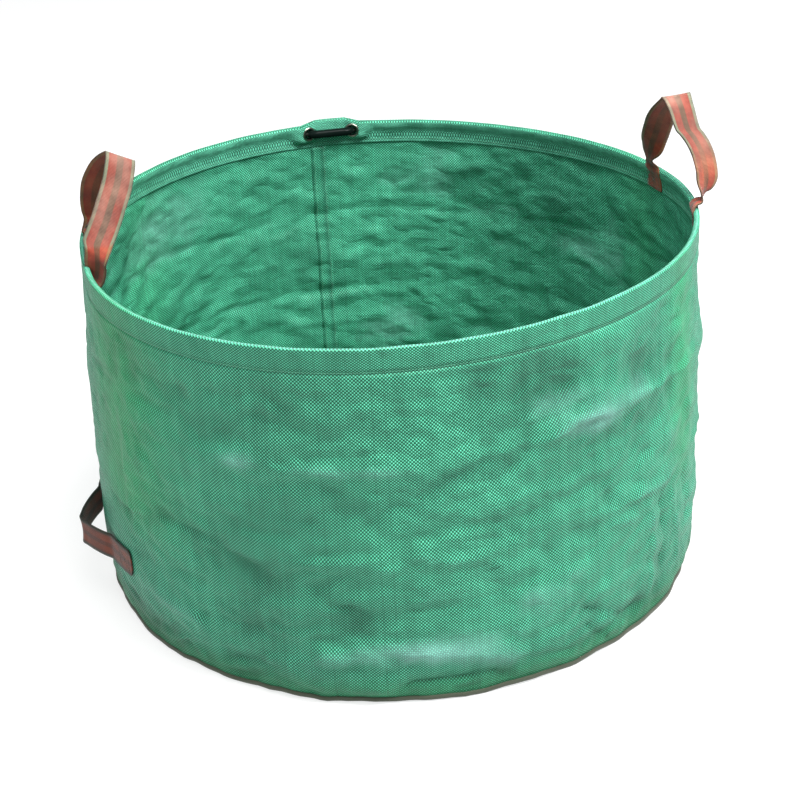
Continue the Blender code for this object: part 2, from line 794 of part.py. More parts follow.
def webbing_loop(name, half_span, across_reach, rise, shares):
    """A strap in its hinge's frame, gathered to a round-ended knuckle at each root.

    X runs along the hinge, Y across the strap at the top of the loop, Z the way the loop rises.
    """
    scale = Vector((half_span, across_reach, rise))
    path = catmull([Vector(share) * scale for share in shares], RUN_SAMPLES)
    runs = [0.0]
    for a, b in zip(path, path[1:]):
        runs.append(runs[-1] + (b - a).length)
    sections = knuckle_sections(path[0], (path[1] - path[0]).normalized())
    for i, middle in enumerate(path):
        run = (path[min(i + 1, len(path) - 1)] - path[max(i - 1, 0)]).normalized()
        from_root = min(runs[i], runs[-1] - runs[i])
        opened = smooth((from_root - GATHER_LENGTH) / (FLARE_LENGTH - GATHER_LENGTH))
        width = mix(GATHER_WIDTH, WEBBING_WIDTH, opened)
        thickness = mix(2 * GATHER_RADIUS, WEBBING_THICKNESS, smooth(THICKNESS_FADE * opened))
        sections.append(strap_section(middle, run, width, thickness, opened * math.pi / 2))
    for section in reversed(knuckle_sections(path[-1], (path[-2] - path[-1]).normalized())):
        sections.append(matched(section, sections[-1]))
    return loft(name, sections, WEBBING)


def hinge_frame(first, second, rise):
    """X along the hinge from the first root to the second, Z the way the loop rises."""
    along = (second - first).normalized()
    across = rise.cross(along)
    basis = Matrix((along, across, rise)).transposed().to_4x4()
    return Matrix.Translation((first + second) / 2) @ basis


def say_hinge(name, frame):
    along = frame.to_3x3() @ Vector((1, 0, 0))
    print(name, "at", [round(v, 6) for v in frame.translation], "along",
          [round(v, 6) for v in along])


def carrying_handle(side, azimuth, lean, rim_slide):
    """A handle on the rim; its roots go clockwise, so that a lean is outwards."""
    ways = (("back", 1), ("front", -1)) if side == "right" else (("front", 1), ("back", -1))
    roots = []
    for end, way in ways:
        root = azimuth + way * HANDLE_HALF_ANGLE
        ride(handle_sewn_end(f"{side}_handle_{end}_end", root), rim_slide)
        ride(handle_box_stitching(f"{side}_handle_{end}_stitching", root), rim_slide)
        roots.append(place(root, HINGE_RADIUS, STANDING_HEIGHT + HINGE_RISE))
    frame = hinge_frame(roots[0], roots[1], UP)
    say_hinge(f"{side} handle hinge", frame)
    lean_turn = Matrix.Rotation(math.radians(-lean), 4, "X")
    hinge = joint_empty(f"{side}_handle_hinge", frame @ lean_turn, rim_slide)
    half_span = (roots[1] - roots[0]).length / 2
    loop = webbing_loop(
        f"{side}_handle", half_span, HANDLE_BOW, HANDLE_HEIGHT, CARRY_LOOP_SHARES
    )
    return ride(loop, hinge, local=True)


# Tipping handle on the outside of the wall
BASE_HINGE_RADIUS = wall_radius(BASE_HANDLE_HEIGHT) + SEAT + KNUCKLE_GAP / 2 + GATHER_RADIUS


def base_sewn_middle(way):
    """Azimuth of the middle of a sewn end, just past the root of the loop."""
    reach = GATHER_WIDTH / 2 + KNUCKLE_GAP + BASE_SEWN_LENGTH / 2
    return BASE_HANDLE_AZIMUTH + way * (BASE_HANDLE_HALF_ANGLE + rim_angle(reach))


def base_sewn_heights(inset):
    low = BASE_HANDLE_HEIGHT - WEBBING_WIDTH / 2 + inset
    high = BASE_HANDLE_HEIGHT + WEBBING_WIDTH / 2 - inset
    kinks = sorted(height for _, height in wall_line() if low < height < high)
    return [low] + kinks + [high]


def base_sewn_place(middle, across, height, depth):
    """A point over the wall: depth is its distance out from the wall's face."""
    half = rim_angle(BASE_SEWN_LENGTH / 2)
    return place(middle + across * half, wall_radius(height) + SEAT + depth, height)


def base_sewn_end(name, way):
    middle = base_sewn_middle(way)
    heights = base_sewn_heights(0)

    def where(across, row):
        return base_sewn_place(middle, across, heights[row], 0)

    return strip(name, SEWN_COLUMNS, len(heights) - 1, where, SEWN_THICKNESS, WEBBING)


def base_box_stitching(name, way):
    middle = base_sewn_middle(way)
    inset = 1 - 2 * BOX_INSET / BASE_SEWN_LENGTH

    def where(across, height):
        return base_sewn_place(middle, across * inset, height, SEWN_THICKNESS + SEAT + THREAD_RADIUS)

    return box_of_thread(name, SEWN_COLUMNS, base_sewn_heights(BOX_INSET), where)


def tipping_handle():
    """The handle low on the wall; it sinks with the cloth when the tub is pressed flat."""
    mount = joint_empty("base_handle_slide", Matrix.Translation((0, 0, BASE_HANDLE_HEIGHT)))
    roots = []
    for end, way in (("back", -1), ("front", 1)):
        ride(base_sewn_end(f"base_handle_{end}_end", way), mount)
        ride(base_box_stitching(f"base_handle_{end}_stitching", way), mount)
        azimuth = BASE_HANDLE_AZIMUTH + way * BASE_HANDLE_HALF_ANGLE
        roots.append(place(azimuth, BASE_HINGE_RADIUS, BASE_HANDLE_HEIGHT))
    outward = (roots[1] - roots[0]).normalized().cross(UP)
    frame = hinge_frame(roots[0], roots[1], outward)
    say_hinge("base handle hinge", frame)
    hinge = joint_empty("base_handle_hinge", frame, mount)
    half_span = (roots[1] - roots[0]).length / 2
    loop = webbing_loop(
        "base_handle", half_span, WEBBING_THICKNESS, BASE_HANDLE_REACH, TIP_LOOP_SHARES
    )
    return ride(loop, hinge, local=True)


def rim_pieces():
    pieces = [rim_hem(), hem_stitching(), rim_hoop(), hoop_sleeve()]
    for hand, side in (("right", -1), ("left", 1)):
        pieces.append(eyelet(f"{hand}_eyelet", side))
        pieces.append(eyelet_washer(f"{hand}_eyelet_washer", side))
    return pieces


base_panel()
base_seam_binding()
base_seam_stitching()
wall_panel()
wall_seam_lap()
wall_seam_stitching()
RIM_SLIDE = joint_empty("rim_slide", Matrix.Identity(4))
for rim_piece in rim_pieces():
    ride(rim_piece, RIM_SLIDE)
carrying_handle("right", RIGHT_AZIMUTH, RIGHT_LEAN, RIM_SLIDE)
carrying_handle("left", LEFT_AZIMUTH, LEFT_LEAN, RIM_SLIDE)
tipping_handle()
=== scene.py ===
# %% [markdown]
# # A pop up leaf bag
#
# The bag is a round tub of woven plastic tape, held open by a sprung hoop in its hem, with two
# striped webbing handles on the rim and a third low on the wall. The packed CAD model gives every
# size and joint. This lesson makes the cloth, webbing, thread and metal that are seen.

# %% Load the frame
import math

import bmesh
import bpy
import numpy as np
from mathutils import Matrix, Vector, noise


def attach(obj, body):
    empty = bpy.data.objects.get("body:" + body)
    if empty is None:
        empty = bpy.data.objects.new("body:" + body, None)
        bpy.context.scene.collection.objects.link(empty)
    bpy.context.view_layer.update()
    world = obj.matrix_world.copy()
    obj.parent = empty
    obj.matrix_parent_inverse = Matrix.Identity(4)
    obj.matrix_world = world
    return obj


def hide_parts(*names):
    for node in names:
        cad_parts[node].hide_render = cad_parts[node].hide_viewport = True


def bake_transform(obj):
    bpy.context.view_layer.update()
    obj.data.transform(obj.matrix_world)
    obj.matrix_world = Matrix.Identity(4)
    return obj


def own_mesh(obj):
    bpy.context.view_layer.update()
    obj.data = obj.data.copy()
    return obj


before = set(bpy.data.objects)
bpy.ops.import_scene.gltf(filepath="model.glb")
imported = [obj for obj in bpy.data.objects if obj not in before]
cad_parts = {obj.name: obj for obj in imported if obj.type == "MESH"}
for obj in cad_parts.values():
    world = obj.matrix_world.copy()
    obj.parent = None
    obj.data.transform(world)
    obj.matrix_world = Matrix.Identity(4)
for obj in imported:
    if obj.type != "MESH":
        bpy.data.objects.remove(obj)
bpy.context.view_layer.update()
print("nodes:", len(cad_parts))

# %% [markdown]
# The camera comes first, because every later choice is judged through it. Its place was worked
# out from the ellipse of the rim and the edge of the base: 2.2 metres from the rim's middle, a
# little over 20 degrees above it, with a long lens.

# %% Camera
CAMERA_SPOT = Vector((0, -2.05239, 1.26930))
CAMERA_LOOK = Vector((0.00401, 0.88788, -0.46005)).normalized()
CAMERA_UP = Vector((0.05083, 0.45928, 0.88684)).normalized()


def in_scene(name, data):
    """A new object that shows this data."""
    made = bpy.data.objects.new(name, data)
    bpy.context.scene.collection.objects.link(made)
    return made


camera_data = bpy.data.cameras.new("camera")
camera_data.lens = 75.7
camera_data.sensor_width = 36
camera = in_scene("camera", camera_data)
side_axis = CAMERA_LOOK.cross(CAMERA_UP).normalized()
up_axis = side_axis.cross(CAMERA_LOOK)
turn = Matrix((side_axis, up_axis, -CAMERA_LOOK)).transposed().to_4x4()
camera.matrix_world = Matrix.Translation(CAMERA_SPOT) @ turn
bpy.context.scene.camera = camera
bpy.context.scene.view_settings.view_transform = "Standard"
print("camera at", [round(value, 3) for value in CAMERA_SPOT])

# %% [markdown]
# A plain white floor and four soft lights stand in for a photographer's table. The main light is
# high on the right, so the wall on the right and the inside on the left are the bright ones.


# %% Floor and lights
def soft_light(name, place, aim, width, watts):
    data = bpy.data.lights.new(name, "AREA")
    data.shape = "DISK"
    data.size = width
    data.energy = watts
    lamp = in_scene(name, data)
    lamp.location = place
    lamp.rotation_euler = (Vector(aim) - Vector(place)).to_track_quat("-Z", "Y").to_euler()


def kept_mesh(mesh, name):
    """Mesh data with what a bmesh holds, which is then freed."""
    data = bpy.data.meshes.new(name)
    mesh.to_mesh(data)
    mesh.free()
    return data


def add_object(name, data, finish):
    data.materials.clear()
    data.materials.append(finish)
    return in_scene(name, data)


def white_floor():
    mesh = bmesh.new()
    bmesh.ops.create_grid(mesh, x_segments=1, y_segments=1, size=30)
    paint = bpy.data.materials.new("floor_white")
    paint.use_nodes = True
    shader = paint.node_tree.nodes["Principled BSDF"]
    for words, value in (
        ("Base Color", (0.30, 0.30, 0.30, 1)), ("Roughness", 0.9),
        ("Emission Color", (1, 1, 1, 1)), ("Emission Strength", 0.72),
    ):
        shader.inputs[words].default_value = value
    floor = add_object("floor", kept_mesh(mesh, "floor"), paint)
    return floor


soft_light("main_light", (1.85, -1.05, 3.1), (0, 0.1, 0.3), 0.9, 205)
soft_light("left_light", (-2.5, -2.1, 2.2), (0, 0, 0.2), 1.8, 26)
soft_light("top_light", (0.1, -1.2, 3.3), (0, 0.4, 0.3), 1.8, 75)
soft_light("inside_light", (0.20, -0.2, 1.9), (-0.10, 0.15, 0.2), 0.9, 33)
sky = bpy.data.worlds.new("studio")
sky.use_nodes = True
sky.node_tree.nodes["Background"].inputs["Color"].default_value = (0.97, 1.0, 1.0, 1)
sky.node_tree.nodes["Background"].inputs["Strength"].default_value = 0.40
bpy.context.scene.world = sky
print("floor:", white_floor().name)

# %% [markdown]
# The sizes below repeat the drawing of the bag, in metres. Azimuths are degrees round the tub
# from +X towards +Y: the front of the bag is at 270, the joint of the hoop at 100.75.

# %% Sizes of the tub and its hem
STANDING_HEIGHT = 0.477
RIM_RADIUS = 0.400
ROUND_LENGTH = 2 * math.pi * RIM_RADIUS
RIM_SWELL = 0.0067
FABRIC = 0.0010
MID = FABRIC / 2
SEAT = 0.0003
WALL_FOOT = 0.0073
WALL_HEAD = 0.4467
HEM_FOOT = 0.447
SEAM_AZIMUTH = 103.5
JOINT_AZIMUTH = 100.75
WALL_PROFILE = (
    (0.0073, 0.404), (0.0253, 0.4085), (0.0952, 0.410), (0.1787, 0.4086), (0.2007, 0.4096),
    (0.2227, 0.4082), (0.2973, 0.4060), (0.3193, 0.4069), (0.3413, 0.4050), (0.4467, 0.400),
)


def smooth(share):
    share = np.clip(share, 0, 1)
    return share * share * (3 - 2 * share)


def mix(low, high, share):
    return low + (high - low) * share


def bell(off):
    """1 in the middle, falling smoothly to 0 on both sides."""
    return np.exp(-off ** 2)


def turn_between(azimuth, other):
    """Degrees from the other azimuth to this one, the short way round."""
    return (azimuth - other + 180) % 360 - 180


def metres_between(azimuth, other):
    """The same along the rim, in metres."""
    return np.radians(turn_between(azimuth, other)) * RIM_RADIUS


def wall_radius(height):
    return np.interp(height, *zip(*WALL_PROFILE))


print("wall radius at mid height:", round(float(wall_radius(0.23)), 4))

# %% [markdown]
# A sprung hoop is never a true circle. This one has three soft corners, which the drawing has
# too, and shallow dents near the handles that pull at it. Everything on the rim is placed with
# the same function, so the hem, hoop and handles stay together.

# %% Places on the tub
# Dents of the rim: azimuth, half width in degrees and depth
RIM_DENTS = ((195, 9, -0.0032), (172, 9, 0.0012), (345, 14, -0.0012), (60, 16, -0.0015))


def out_of_round(azimuth, height):
    """How far the cloth stands out of the plain round at this azimuth and height."""
    swell = RIM_SWELL * np.cos(np.radians(3 * azimuth)) * height / STANDING_HEIGHT
    dent = sum(
        depth * bell(turn_between(azimuth, middle) / half_width)
        for middle, half_width, depth in RIM_DENTS
    )
    return swell + dent * smooth((height - 0.30) / 0.17)


def spot(azimuth, radius, height):
    """Points at these azimuths, radii and heights, as rows of X, Y and Z."""
    azimuth, radius, height = np.broadcast_arrays(
        *(np.asarray(values, float) for values in (azimuth, radius, height))
    )
    reach = radius + out_of_round(azimuth, height)
    turned = np.radians(azimuth)
    return np.stack((reach * np.cos(turned), reach * np.sin(turned), height), axis=-1)


print("rim at the right handle:", spot(8.5, RIM_RADIUS, STANDING_HEIGHT).round(4))

# %% [markdown]
# ## Materials
#
# Shader maths reads best as a sum on paper. This small class wraps a socket of a node, so that
# `1 - mask` or `height * 0.5` adds the Math nodes by itself. Any other node comes from the one
# method of the finish, which takes its kind, its settings and its inputs.


# %% A socket that can be used in sums
def sign(operation):
    """What a sign such as + or * does between a wire and a number or another wire."""
    return lambda wire, other: wire.sum(operation, other)


class Wire:
    """One output of a node."""

    def __init__(self, finish, socket):
        self.finish = finish
        self.socket = socket

    def out(self, number):
        """Another output of the same node."""
        return Wire(self.finish, self.socket.node.outputs[number])

    def sum(self, operation, *others, clamp=False):
        return self.finish.node("Math", [self, *others], operation=operation, use_clamp=clamp)

    def ribs(self, pitch):
        """Rounded ribs from 0 to 1, one every pitch."""
        return (self / pitch * math.pi).sum("SINE").sum("ABSOLUTE")

    def __rsub__(self, other):
        return self.finish.node("Math", [other, self], operation="SUBTRACT")

    __add__ = __radd__ = sign("ADD")
    __mul__ = __rmul__ = sign("MULTIPLY")
    __sub__ = sign("SUBTRACT")
    __truediv__ = sign("DIVIDE")
    __pow__ = sign("POWER")


print("a wire has", [name for name in vars(Wire) if not name.startswith("_")])

# %% [markdown]
# The finish holds the material and adds its nodes. Its last method joins the colour, roughness
# and bump to the shader, since every real surface here needs all three.


# %% A material and its nodes
class Finish:
    """A material whose nodes are added one by one."""

    def __init__(self, name, **fixed):
        self.material = bpy.data.materials.new(name)
        self.material.use_nodes = True
        self.tree = self.material.node_tree
        self.shader = self.tree.nodes["Principled BSDF"]
        self.named = {one.name.lower().replace(" ", "_"): one for one in self.shader.inputs}
        for words, value in fixed.items():
            self.named[words].default_value = value

    def node(self, kind, values=(), output=0, stops=None, **settings):
        made = self.tree.nodes.new("ShaderNode" + kind)
        for setting, value in settings.items():
            setattr(made, setting, value)
        if stops:
            ramp = made.color_ramp
            while len(ramp.elements) < len(stops):
                ramp.elements.new(0.5)
            for element, (place, colour) in zip(ramp.elements, stops):
                element.position = place
                element.color = (*colour, 1)
        pairs = values.items() if isinstance(values, dict) else enumerate(values)
        for place, value in pairs:
            self.join(value, made.inputs[place])
        return Wire(self, made.outputs[output])

    def join(self, value, socket):
        if isinstance(value, Wire):
            self.tree.links.new(value.socket, socket)
        else:
            socket.default_value = value

    def blend(self, share, first, second, how="MIX"):
        """One colour over another."""
        return self.node(
            "Mix", {0: share, 6: first, 7: second}, output=2, data_type="RGBA", blend_type=how
        )

    def lit(self, colour, light):
        """A colour made lighter or darker by a number."""
        grey = self.node("CombineColor", {"Red": light, "Green": light, "Blue": light})
        return self.blend(1.0, colour, grey, "MULTIPLY")

    def attribute(self, name):
        return self.node("Attribute", output=2, attribute_name=name)

    def cloth_map(self):
        """Metres across and along the piece's own cloth."""
        across = self.node("SeparateXYZ", [self.node("UVMap", uv_map="cloth")])
        return across, across.out(1)

    def patchy(self, scale, detail=3.0, stretch=(1, 1, 1)):
        """Soft patches from 0 to 1 on the object's own coordinates."""
        place = self.node("TexCoord", output=3)
        placed = self.node("Mapping", {"Vector": place, "Scale": stretch})
        return self.node("TexNoise", {"Vector": placed, "Scale": scale, "Detail": detail})

    def done(self, colour, roughness, height, strength, distance):
        """The material, once its colour, roughness and bump are joined to the shader."""
        bump = {"Height": height, "Strength": strength, "Distance": distance}
        self.join(colour, self.named["base_color"])
        self.join(roughness, self.named["roughness"])
        self.join(self.node("Bump", bump), self.named["normal"])
        return self.material


print("shader inputs:", len(Finish("try").shader.inputs))
bpy.data.materials.remove(bpy.data.materials["try"])

# %% [markdown]
# The cloth is a plain weave of flat plastic tape, two millimetres wide. A photograph of it shows
# a fine checker of light and dark: where the upright tape is on top it catches the light, and
# where the level tape is on top it lies darker. That light and shade are painted into the colour:
# the upright tape on top is painted lit and the level tape painted shaded, in a pattern worked
# out from the piece's own cloth map in metres, and not painted by hand. Each tape gets its own
# slight tint.

# %% The weave
TAPE = 0.00205
# The upright and level tapes are one green: these are its painted lit and painted shaded colours.
LIT_TAPE = (0.100, 0.520, 0.325, 1)
SHADED_TAPE = (0.003, 0.075, 0.037, 1)
# The colours of painted highlights, and of a painted tint of grazing light.
HIGHLIGHT_CLOTH = (0.230, 0.470, 0.420, 1)
LIGHTING_TINT_CLOTH = (0.030, 0.330, 0.085, 1)
# How much painted shade falls in the gaps between tapes, and how much each painted number counts
GAP_SHADE = 0.16
LIGHTING_TINT_SHARE = 0.50
PAINTED_LIGHT_SHARE = 0.60
SHADE_SHARE = 0.42


def weave_cells(finish):
    """Height of the woven surface, which tape is on top, and each tape's own tint."""
    upright, level = (metres / TAPE for metres in finish.cloth_map())
    upright_cell, level_cell = upright.sum("FLOOR"), level.sum("FLOOR")
    on_top = (upright_cell + level_cell).sum("FLOORED_MODULO", 2.0)
    crown_up = ((upright - upright_cell) * math.pi).sum("SINE")
    crown_level = ((level - level_cell) * math.pi).sum("SINE")
    upright_tape = (crown_up ** 0.45) * (crown_level * 0.5 + 0.5)
    level_tape = (crown_level ** 0.45) * (crown_up * 0.5 + 0.5)
    height = on_top * upright_tape + (1 - on_top) * level_tape
    tint_up = finish.node("TexWhiteNoise", {"W": upright_cell}, noise_dimensions="1D")
    tint_level = finish.node("TexWhiteNoise", {"W": level_cell + 0.37}, noise_dimensions="1D")
    tint = on_top * tint_up + (1 - on_top) * tint_level
    return height, on_top, tint


def woven_finish(name):
    finish = Finish(name, specular_ior_level=0.20)
    height, on_top, tint = weave_cells(finish)
    # The tape on top is painted lit where it is upright, and painted shaded where it is level.
    colour = finish.blend(on_top, SHADED_TAPE, LIT_TAPE)
    # A painted lime tint where the light grazes the sides, and near the floor.
    colour = finish.blend(finish.attribute("lime") * LIGHTING_TINT_SHARE, colour, LIGHTING_TINT_CLOTH)
    # Painted highlights and painted light from the vertices.
    colour = finish.blend(finish.attribute("pale") * PAINTED_LIGHT_SHARE, colour, HIGHLIGHT_CLOTH)
    patches = finish.patchy(5.0)
    fine = finish.patchy(34.0, 4.0)
    creased = (finish.patchy(19.0, 3.5, (1, 1, 1.5)) - 0.5).sum("ABSOLUTE")
    light = (patches - 0.5) * 0.50 + (fine - 0.5) * 0.60 + (tint - 0.5) * 0.20 + 1.0
    # Painted shade in the low gaps between the tapes.
    light = light * (height * (1 - GAP_SHADE) + GAP_SHADE)
    # Painted shade that the wall, lap, base and hem carry on their vertices.
    light = light * (1 - finish.attribute("soil") * SHADE_SHARE)
    rough = (patches - 0.5) * 0.20 + (1 - on_top) * 0.10 + 0.46
    relief = height + (fine - 0.5) * 0.5 + creased * 26.0
    return finish.done(finish.lit(colour, light), rough, relief, 0.55, 0.0005)


WOVEN = woven_finish("woven_green")
print("weave nodes:", len(WOVEN.node_tree.nodes))

# %% [markdown]
# The webbing is striped along its length: pale selvedges, two coral bands and an olive-brown
# middle. It is a ribbed weave, so fine weft ribs run across it and the stripes' warp ends run
# along it. Its map holds metres across and along the strap.

# %% Webbing
WEBBING_WIDTH = 0.038
RIB_PITCH = 0.00165
WARP_PITCH = 0.00105
SELVEDGE = (0.105, 0.112, 0.072)
CORAL = (0.166, 0.038, 0.025)
CORAL_DEEP = (0.140, 0.026, 0.016)
OLIVE = (0.074, 0.042, 0.025)
DARK_EDGE = (0.020, 0.020, 0.012)
FADED_WEBBING = (0.225, 0.128, 0.096, 1)
RUST = (0.112, 0.023, 0.009)
RUST_DEEP = (0.060, 0.017, 0.009)
# The warm tint of painted shade on the straps' undersides.
UNDERSIDE_SHADE = (1.00, 0.50, 0.27, 1)
STRIPES = (
    (0.00, DARK_EDGE), (0.030, SELVEDGE), (0.105, SELVEDGE), (0.130, CORAL_DEEP), (0.22, CORAL),
    (0.375, CORAL), (0.405, OLIVE), (0.50, OLIVE), (0.595, OLIVE), (0.625, CORAL),
    (0.78, CORAL), (0.870, CORAL_DEEP), (0.895, SELVEDGE), (0.970, SELVEDGE), (1.00, DARK_EDGE),
)
WORN_STRIPES = (
    (0.00, DARK_EDGE), (0.085, DARK_EDGE), (0.115, RUST_DEEP), (0.20, RUST), (0.38, RUST),
    (0.43, RUST_DEEP), (0.57, RUST_DEEP), (0.62, RUST), (0.80, RUST), (0.885, RUST_DEEP),
    (0.915, DARK_EDGE), (1.00, DARK_EDGE),
)


def webbing_finish(name, colours, fade):
    finish = Finish(name, specular_ior_level=0.25, sheen_weight=0.18, sheen_roughness=0.45)
    across, along = finish.cloth_map()
    stripes = finish.node("ValToRGB", [across / WEBBING_WIDTH + 0.5], stops=colours)
    rib, warp = along.ribs(RIB_PITCH), across.ribs(WARP_PITCH)
    worn = finish.patchy(55.0, 5.0)
    # Painted shade between the weft ribs and between the warp ends, and patches of wear.
    light = (rib * 0.34 + 0.76) * (warp * 0.18 + 0.90) * ((worn - 0.5) * 1.5 + 1.0)
    dusty = (finish.patchy(30.0, 4.0, (1, 1, 0.5)) - 0.42).sum("MULTIPLY", 4.0, clamp=True) * fade
    colour = finish.lit(finish.blend(dusty, stripes, FADED_WEBBING), light)
    # Painted shade, warm from the other strap's face, where a vertex is marked.
    shaded = finish.blend(1.0, colour, UNDERSIDE_SHADE, "MULTIPLY")
    colour = finish.blend(finish.attribute("under"), colour, shaded)
    return finish.done(colour, (worn - 0.5) * 0.2 + 0.72, rib * 0.7 + warp * 0.3, 0.6, 0.0005)


WEBBING = webbing_finish("striped_webbing", STRIPES, 0.62)
TIP_WEBBING = webbing_finish("worn_webbing", WORN_STRIPES, 0.03)
print("stripes:", len(STRIPES))

# %% [markdown]
# The small things need a finish each: spun thread with its twist, the dull rod of the hoop, the
# glossy black sleeve, plated eyelets with fine scratches and a dark olive colour that is painted
# reflection, and the dark binding of the base, which also makes the dark strip at its foot.


# %% Thread, rod, sleeve, metal and binding
def shades(colour, dark):
    """A darker shade of a colour, and the colour."""
    return (*(dark * part for part in colour), 1), (*colour, 1)


def thread_finish(name, colour):
    finish = Finish(name, sheen_weight=0.3)
    strands = finish.node(
        "TexWave", {"Vector": finish.node("TexCoord", output=3), "Scale": 900.0, "Distortion": 2.0},
        bands_direction="DIAGONAL",
    ).out(1)
    # Painted shade between the twisted strands.
    base = finish.blend(strands, *shades(colour, 0.6))
    return finish.done(base, finish.patchy(60.0) * 0.25 + 0.5, strands, 0.5, 0.0002)


def plastic_finish(name, colour, rough):
    finish = Finish(name, specular_ior_level=0.03)
    smudge = finish.patchy(90.0, 5.0)
    base = finish.blend(smudge, *shades(colour, 0.7))
    grain = finish.patchy(700.0, 2.0)
    return finish.done(base, (smudge - 0.5) * 0.25 + rough, grain, 0.15, 0.0001)


def plated_finish(name):
    finish = Finish(name, metallic=1.0)
    scratches = finish.patchy(500.0, 6.0, (1, 1, 4))
    dull = finish.patchy(120.0)
    # The plating's dark olive colour is painted reflection of the dark green bag around it.
    base = finish.blend(dull, (0.10, 0.105, 0.085, 1), (0.30, 0.30, 0.25, 1))
    return finish.done(base, dull * 0.25 + scratches * 0.15 + 0.10, scratches, 0.12, 0.0001)


def binding_finish(name):
    finish = Finish(name, sheen_weight=0.15)
    rib = finish.cloth_map()[0].ribs(0.0012)
    # Painted shade between the ribs of the tape.
    base = finish.blend(rib, (0.018, 0.026, 0.014, 1), (0.050, 0.060, 0.034, 1))
    return finish.done(base, finish.patchy(50.0) * 0.2 + 0.65, rib, 0.5, 0.0004)


GREEN_THREAD = thread_finish("green_thread", (0.060, 0.290, 0.175))
BOX_THREAD = thread_finish("box_thread", (0.060, 0.070, 0.045))
ROD = plastic_finish("hoop_rod", (0.020, 0.024, 0.020), 0.42)
SLEEVE = plastic_finish("sleeve_black", (0.003, 0.006, 0.005), 0.22)
NICKEL = plated_finish("plated_steel")
BINDING = binding_finish("bound_edge")
print("finishes:", len(bpy.data.materials))

# %% [markdown]
# ## Making cloth
#
# Real cloth starts flat, and so does this. Each sheet is a grid of quads, whose cloth map is
# written while it is still flat, in metres.


# %% Cut a flat sheet
def read_rows(items, key):
    """A row of X, Y and Z for each item of mesh data."""
    flat = np.empty(len(items) * 3)
    items.foreach_get(key, flat)
    return flat.reshape(-1, 3)


def flat_sheet(columns, rows):
    """A grid, with each vertex's share across it and up it."""
    mesh = bmesh.new()
    bmesh.ops.create_grid(mesh, x_segments=columns, y_segments=rows, size=1)
    data = kept_mesh(mesh, "sheet")
    across, up, _ = (read_rows(data.vertices, "co").T + 1) / 2
    return data, across, up


def round_sheet(columns, rows):
    """A grid that goes round the tub from the seam: metres round, azimuth and share up."""
    data, share, up = flat_sheet(columns, rows)
    return data, share * ROUND_LENGTH, SEAM_AZIMUTH + 360 * share, up


def map_cloth(data, across, along):
    """Writes the cloth map from two numbers per vertex, in metres."""
    loops = np.empty(len(data.loops), np.int32)
    data.loops.foreach_get("vertex_index", loops)
    layer = data.uv_layers.new(name="cloth")
    layer.data.foreach_set("uv", np.stack((across, along), axis=-1)[loops].ravel())


print("a small sheet has", len(flat_sheet(12, 4)[0].polygons), "quads")

# %% [markdown]
# Then every point is sent to its real place by how far round and how far up the cloth it lies,
# and where the two ends meet they are merged. They meet at the wall's upright seam, as on the
# real bag. Painted light and painted shade are numbers put on the vertices for the weave to read.


# %% Close a sheet to a tube
def close_sheet(data):
    """Merges the points that have come together, at the seam and at a pole."""
    mesh = bmesh.new()
    mesh.from_mesh(data)
    bmesh.ops.remove_doubles(mesh, verts=mesh.verts, dist=0.00002)
    bmesh.ops.recalc_face_normals(mesh, faces=mesh.faces)
    mesh.to_mesh(data)
    mesh.free()
    return data


def move_vertices(data, points):
    data.vertices.foreach_set("co", np.asarray(points, float).ravel())
    data.update()


def paint(data, name, values):
    """A number from 0 to 1 on every vertex, which a material can read."""
    layer = data.attributes.new(name, "FLOAT", "POINT")
    layer.data.foreach_set("value", np.clip(values, 0, 1).astype(np.float32))


def face_out(data, away=None):
    """Turns the whole sheet over if its faces point into the bag."""
    data.update()
    if away is None:
        away = read_rows(data.polygons, "center") * (1, 1, 0)
    if (read_rows(data.polygons, "normal") * away).sum() < 0:
        data.flip_normals()
    return data


print("a merged flat sheet keeps", len(close_sheet(flat_sheet(12, 4)[0]).vertices), "points")

# %% [markdown]
# Cloth has two faces, so each sheet gets its thickness from a Solidify modifier, which some
# pieces bake into their own mesh. A piece says which body carries it and what it stands for.

# %% Thickness and body
# The thickness of the cloth that is seen
CLOTH_SEEN = 0.0007


def thicken(piece, thickness=CLOTH_SEEN):
    made = piece.modifiers.new("cloth_thickness", "SOLIDIFY")
    made.thickness = thickness
    made.offset = 0
    made.use_even_offset = True
    piece.data.shade_smooth()
    return piece


def bake_modifiers(piece):
    """Keeps what the modifiers make as the piece's own mesh."""
    bpy.context.view_layer.update()
    seen = piece.evaluated_get(bpy.context.evaluated_depsgraph_get())
    data = bpy.data.meshes.new_from_object(seen)
    piece.modifiers.clear()
    piece.data = data
    return piece


def belongs(piece, body, slot, *nodes):
    """Says which body carries a piece and which CAD nodes it replaces; the slot is not used."""
    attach(piece, body)
    if nodes:
        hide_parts(*nodes)
    return piece


def sinks(piece):
    """Gives the piece its own copy of its mesh."""
    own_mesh(piece)


# %% [markdown]
# ## The wall
#
# A real wall like this has been folded flat for storage. Two storage folds run round it, and
# the cloth between them is creased on the slant, dented and puckered where it meets the floor.
# A simulation could crumple it, but not in the places that the photograph shows, so each crease
# is drawn as a line on the wall with a width and a depth, and the wall is pushed in or out by it.

# %% Lines and dents on the wall
LOW_FOLD = (
    (0, 0.206), (22, 0.212), (48, 0.203), (76, 0.208), (102, 0.199), (131, 0.207), (158, 0.201),
    (183, 0.209), (205, 0.201), (228, 0.205), (251.9, 0.199), (269.8, 0.214), (282, 0.197),
    (287, 0.205), (307, 0.208), (322, 0.198), (333.6, 0.210), (360, 0.206),
)
HIGH_FOLD = (
    (0, 0.327), (30, 0.335), (64, 0.326), (95, 0.333), (128, 0.325), (160, 0.335), (190, 0.328),
    (216, 0.334), (243.5, 0.331), (270.5, 0.322), (296.8, 0.333), (303, 0.343), (311, 0.338),
    (335, 0.330), (360, 0.327),
)
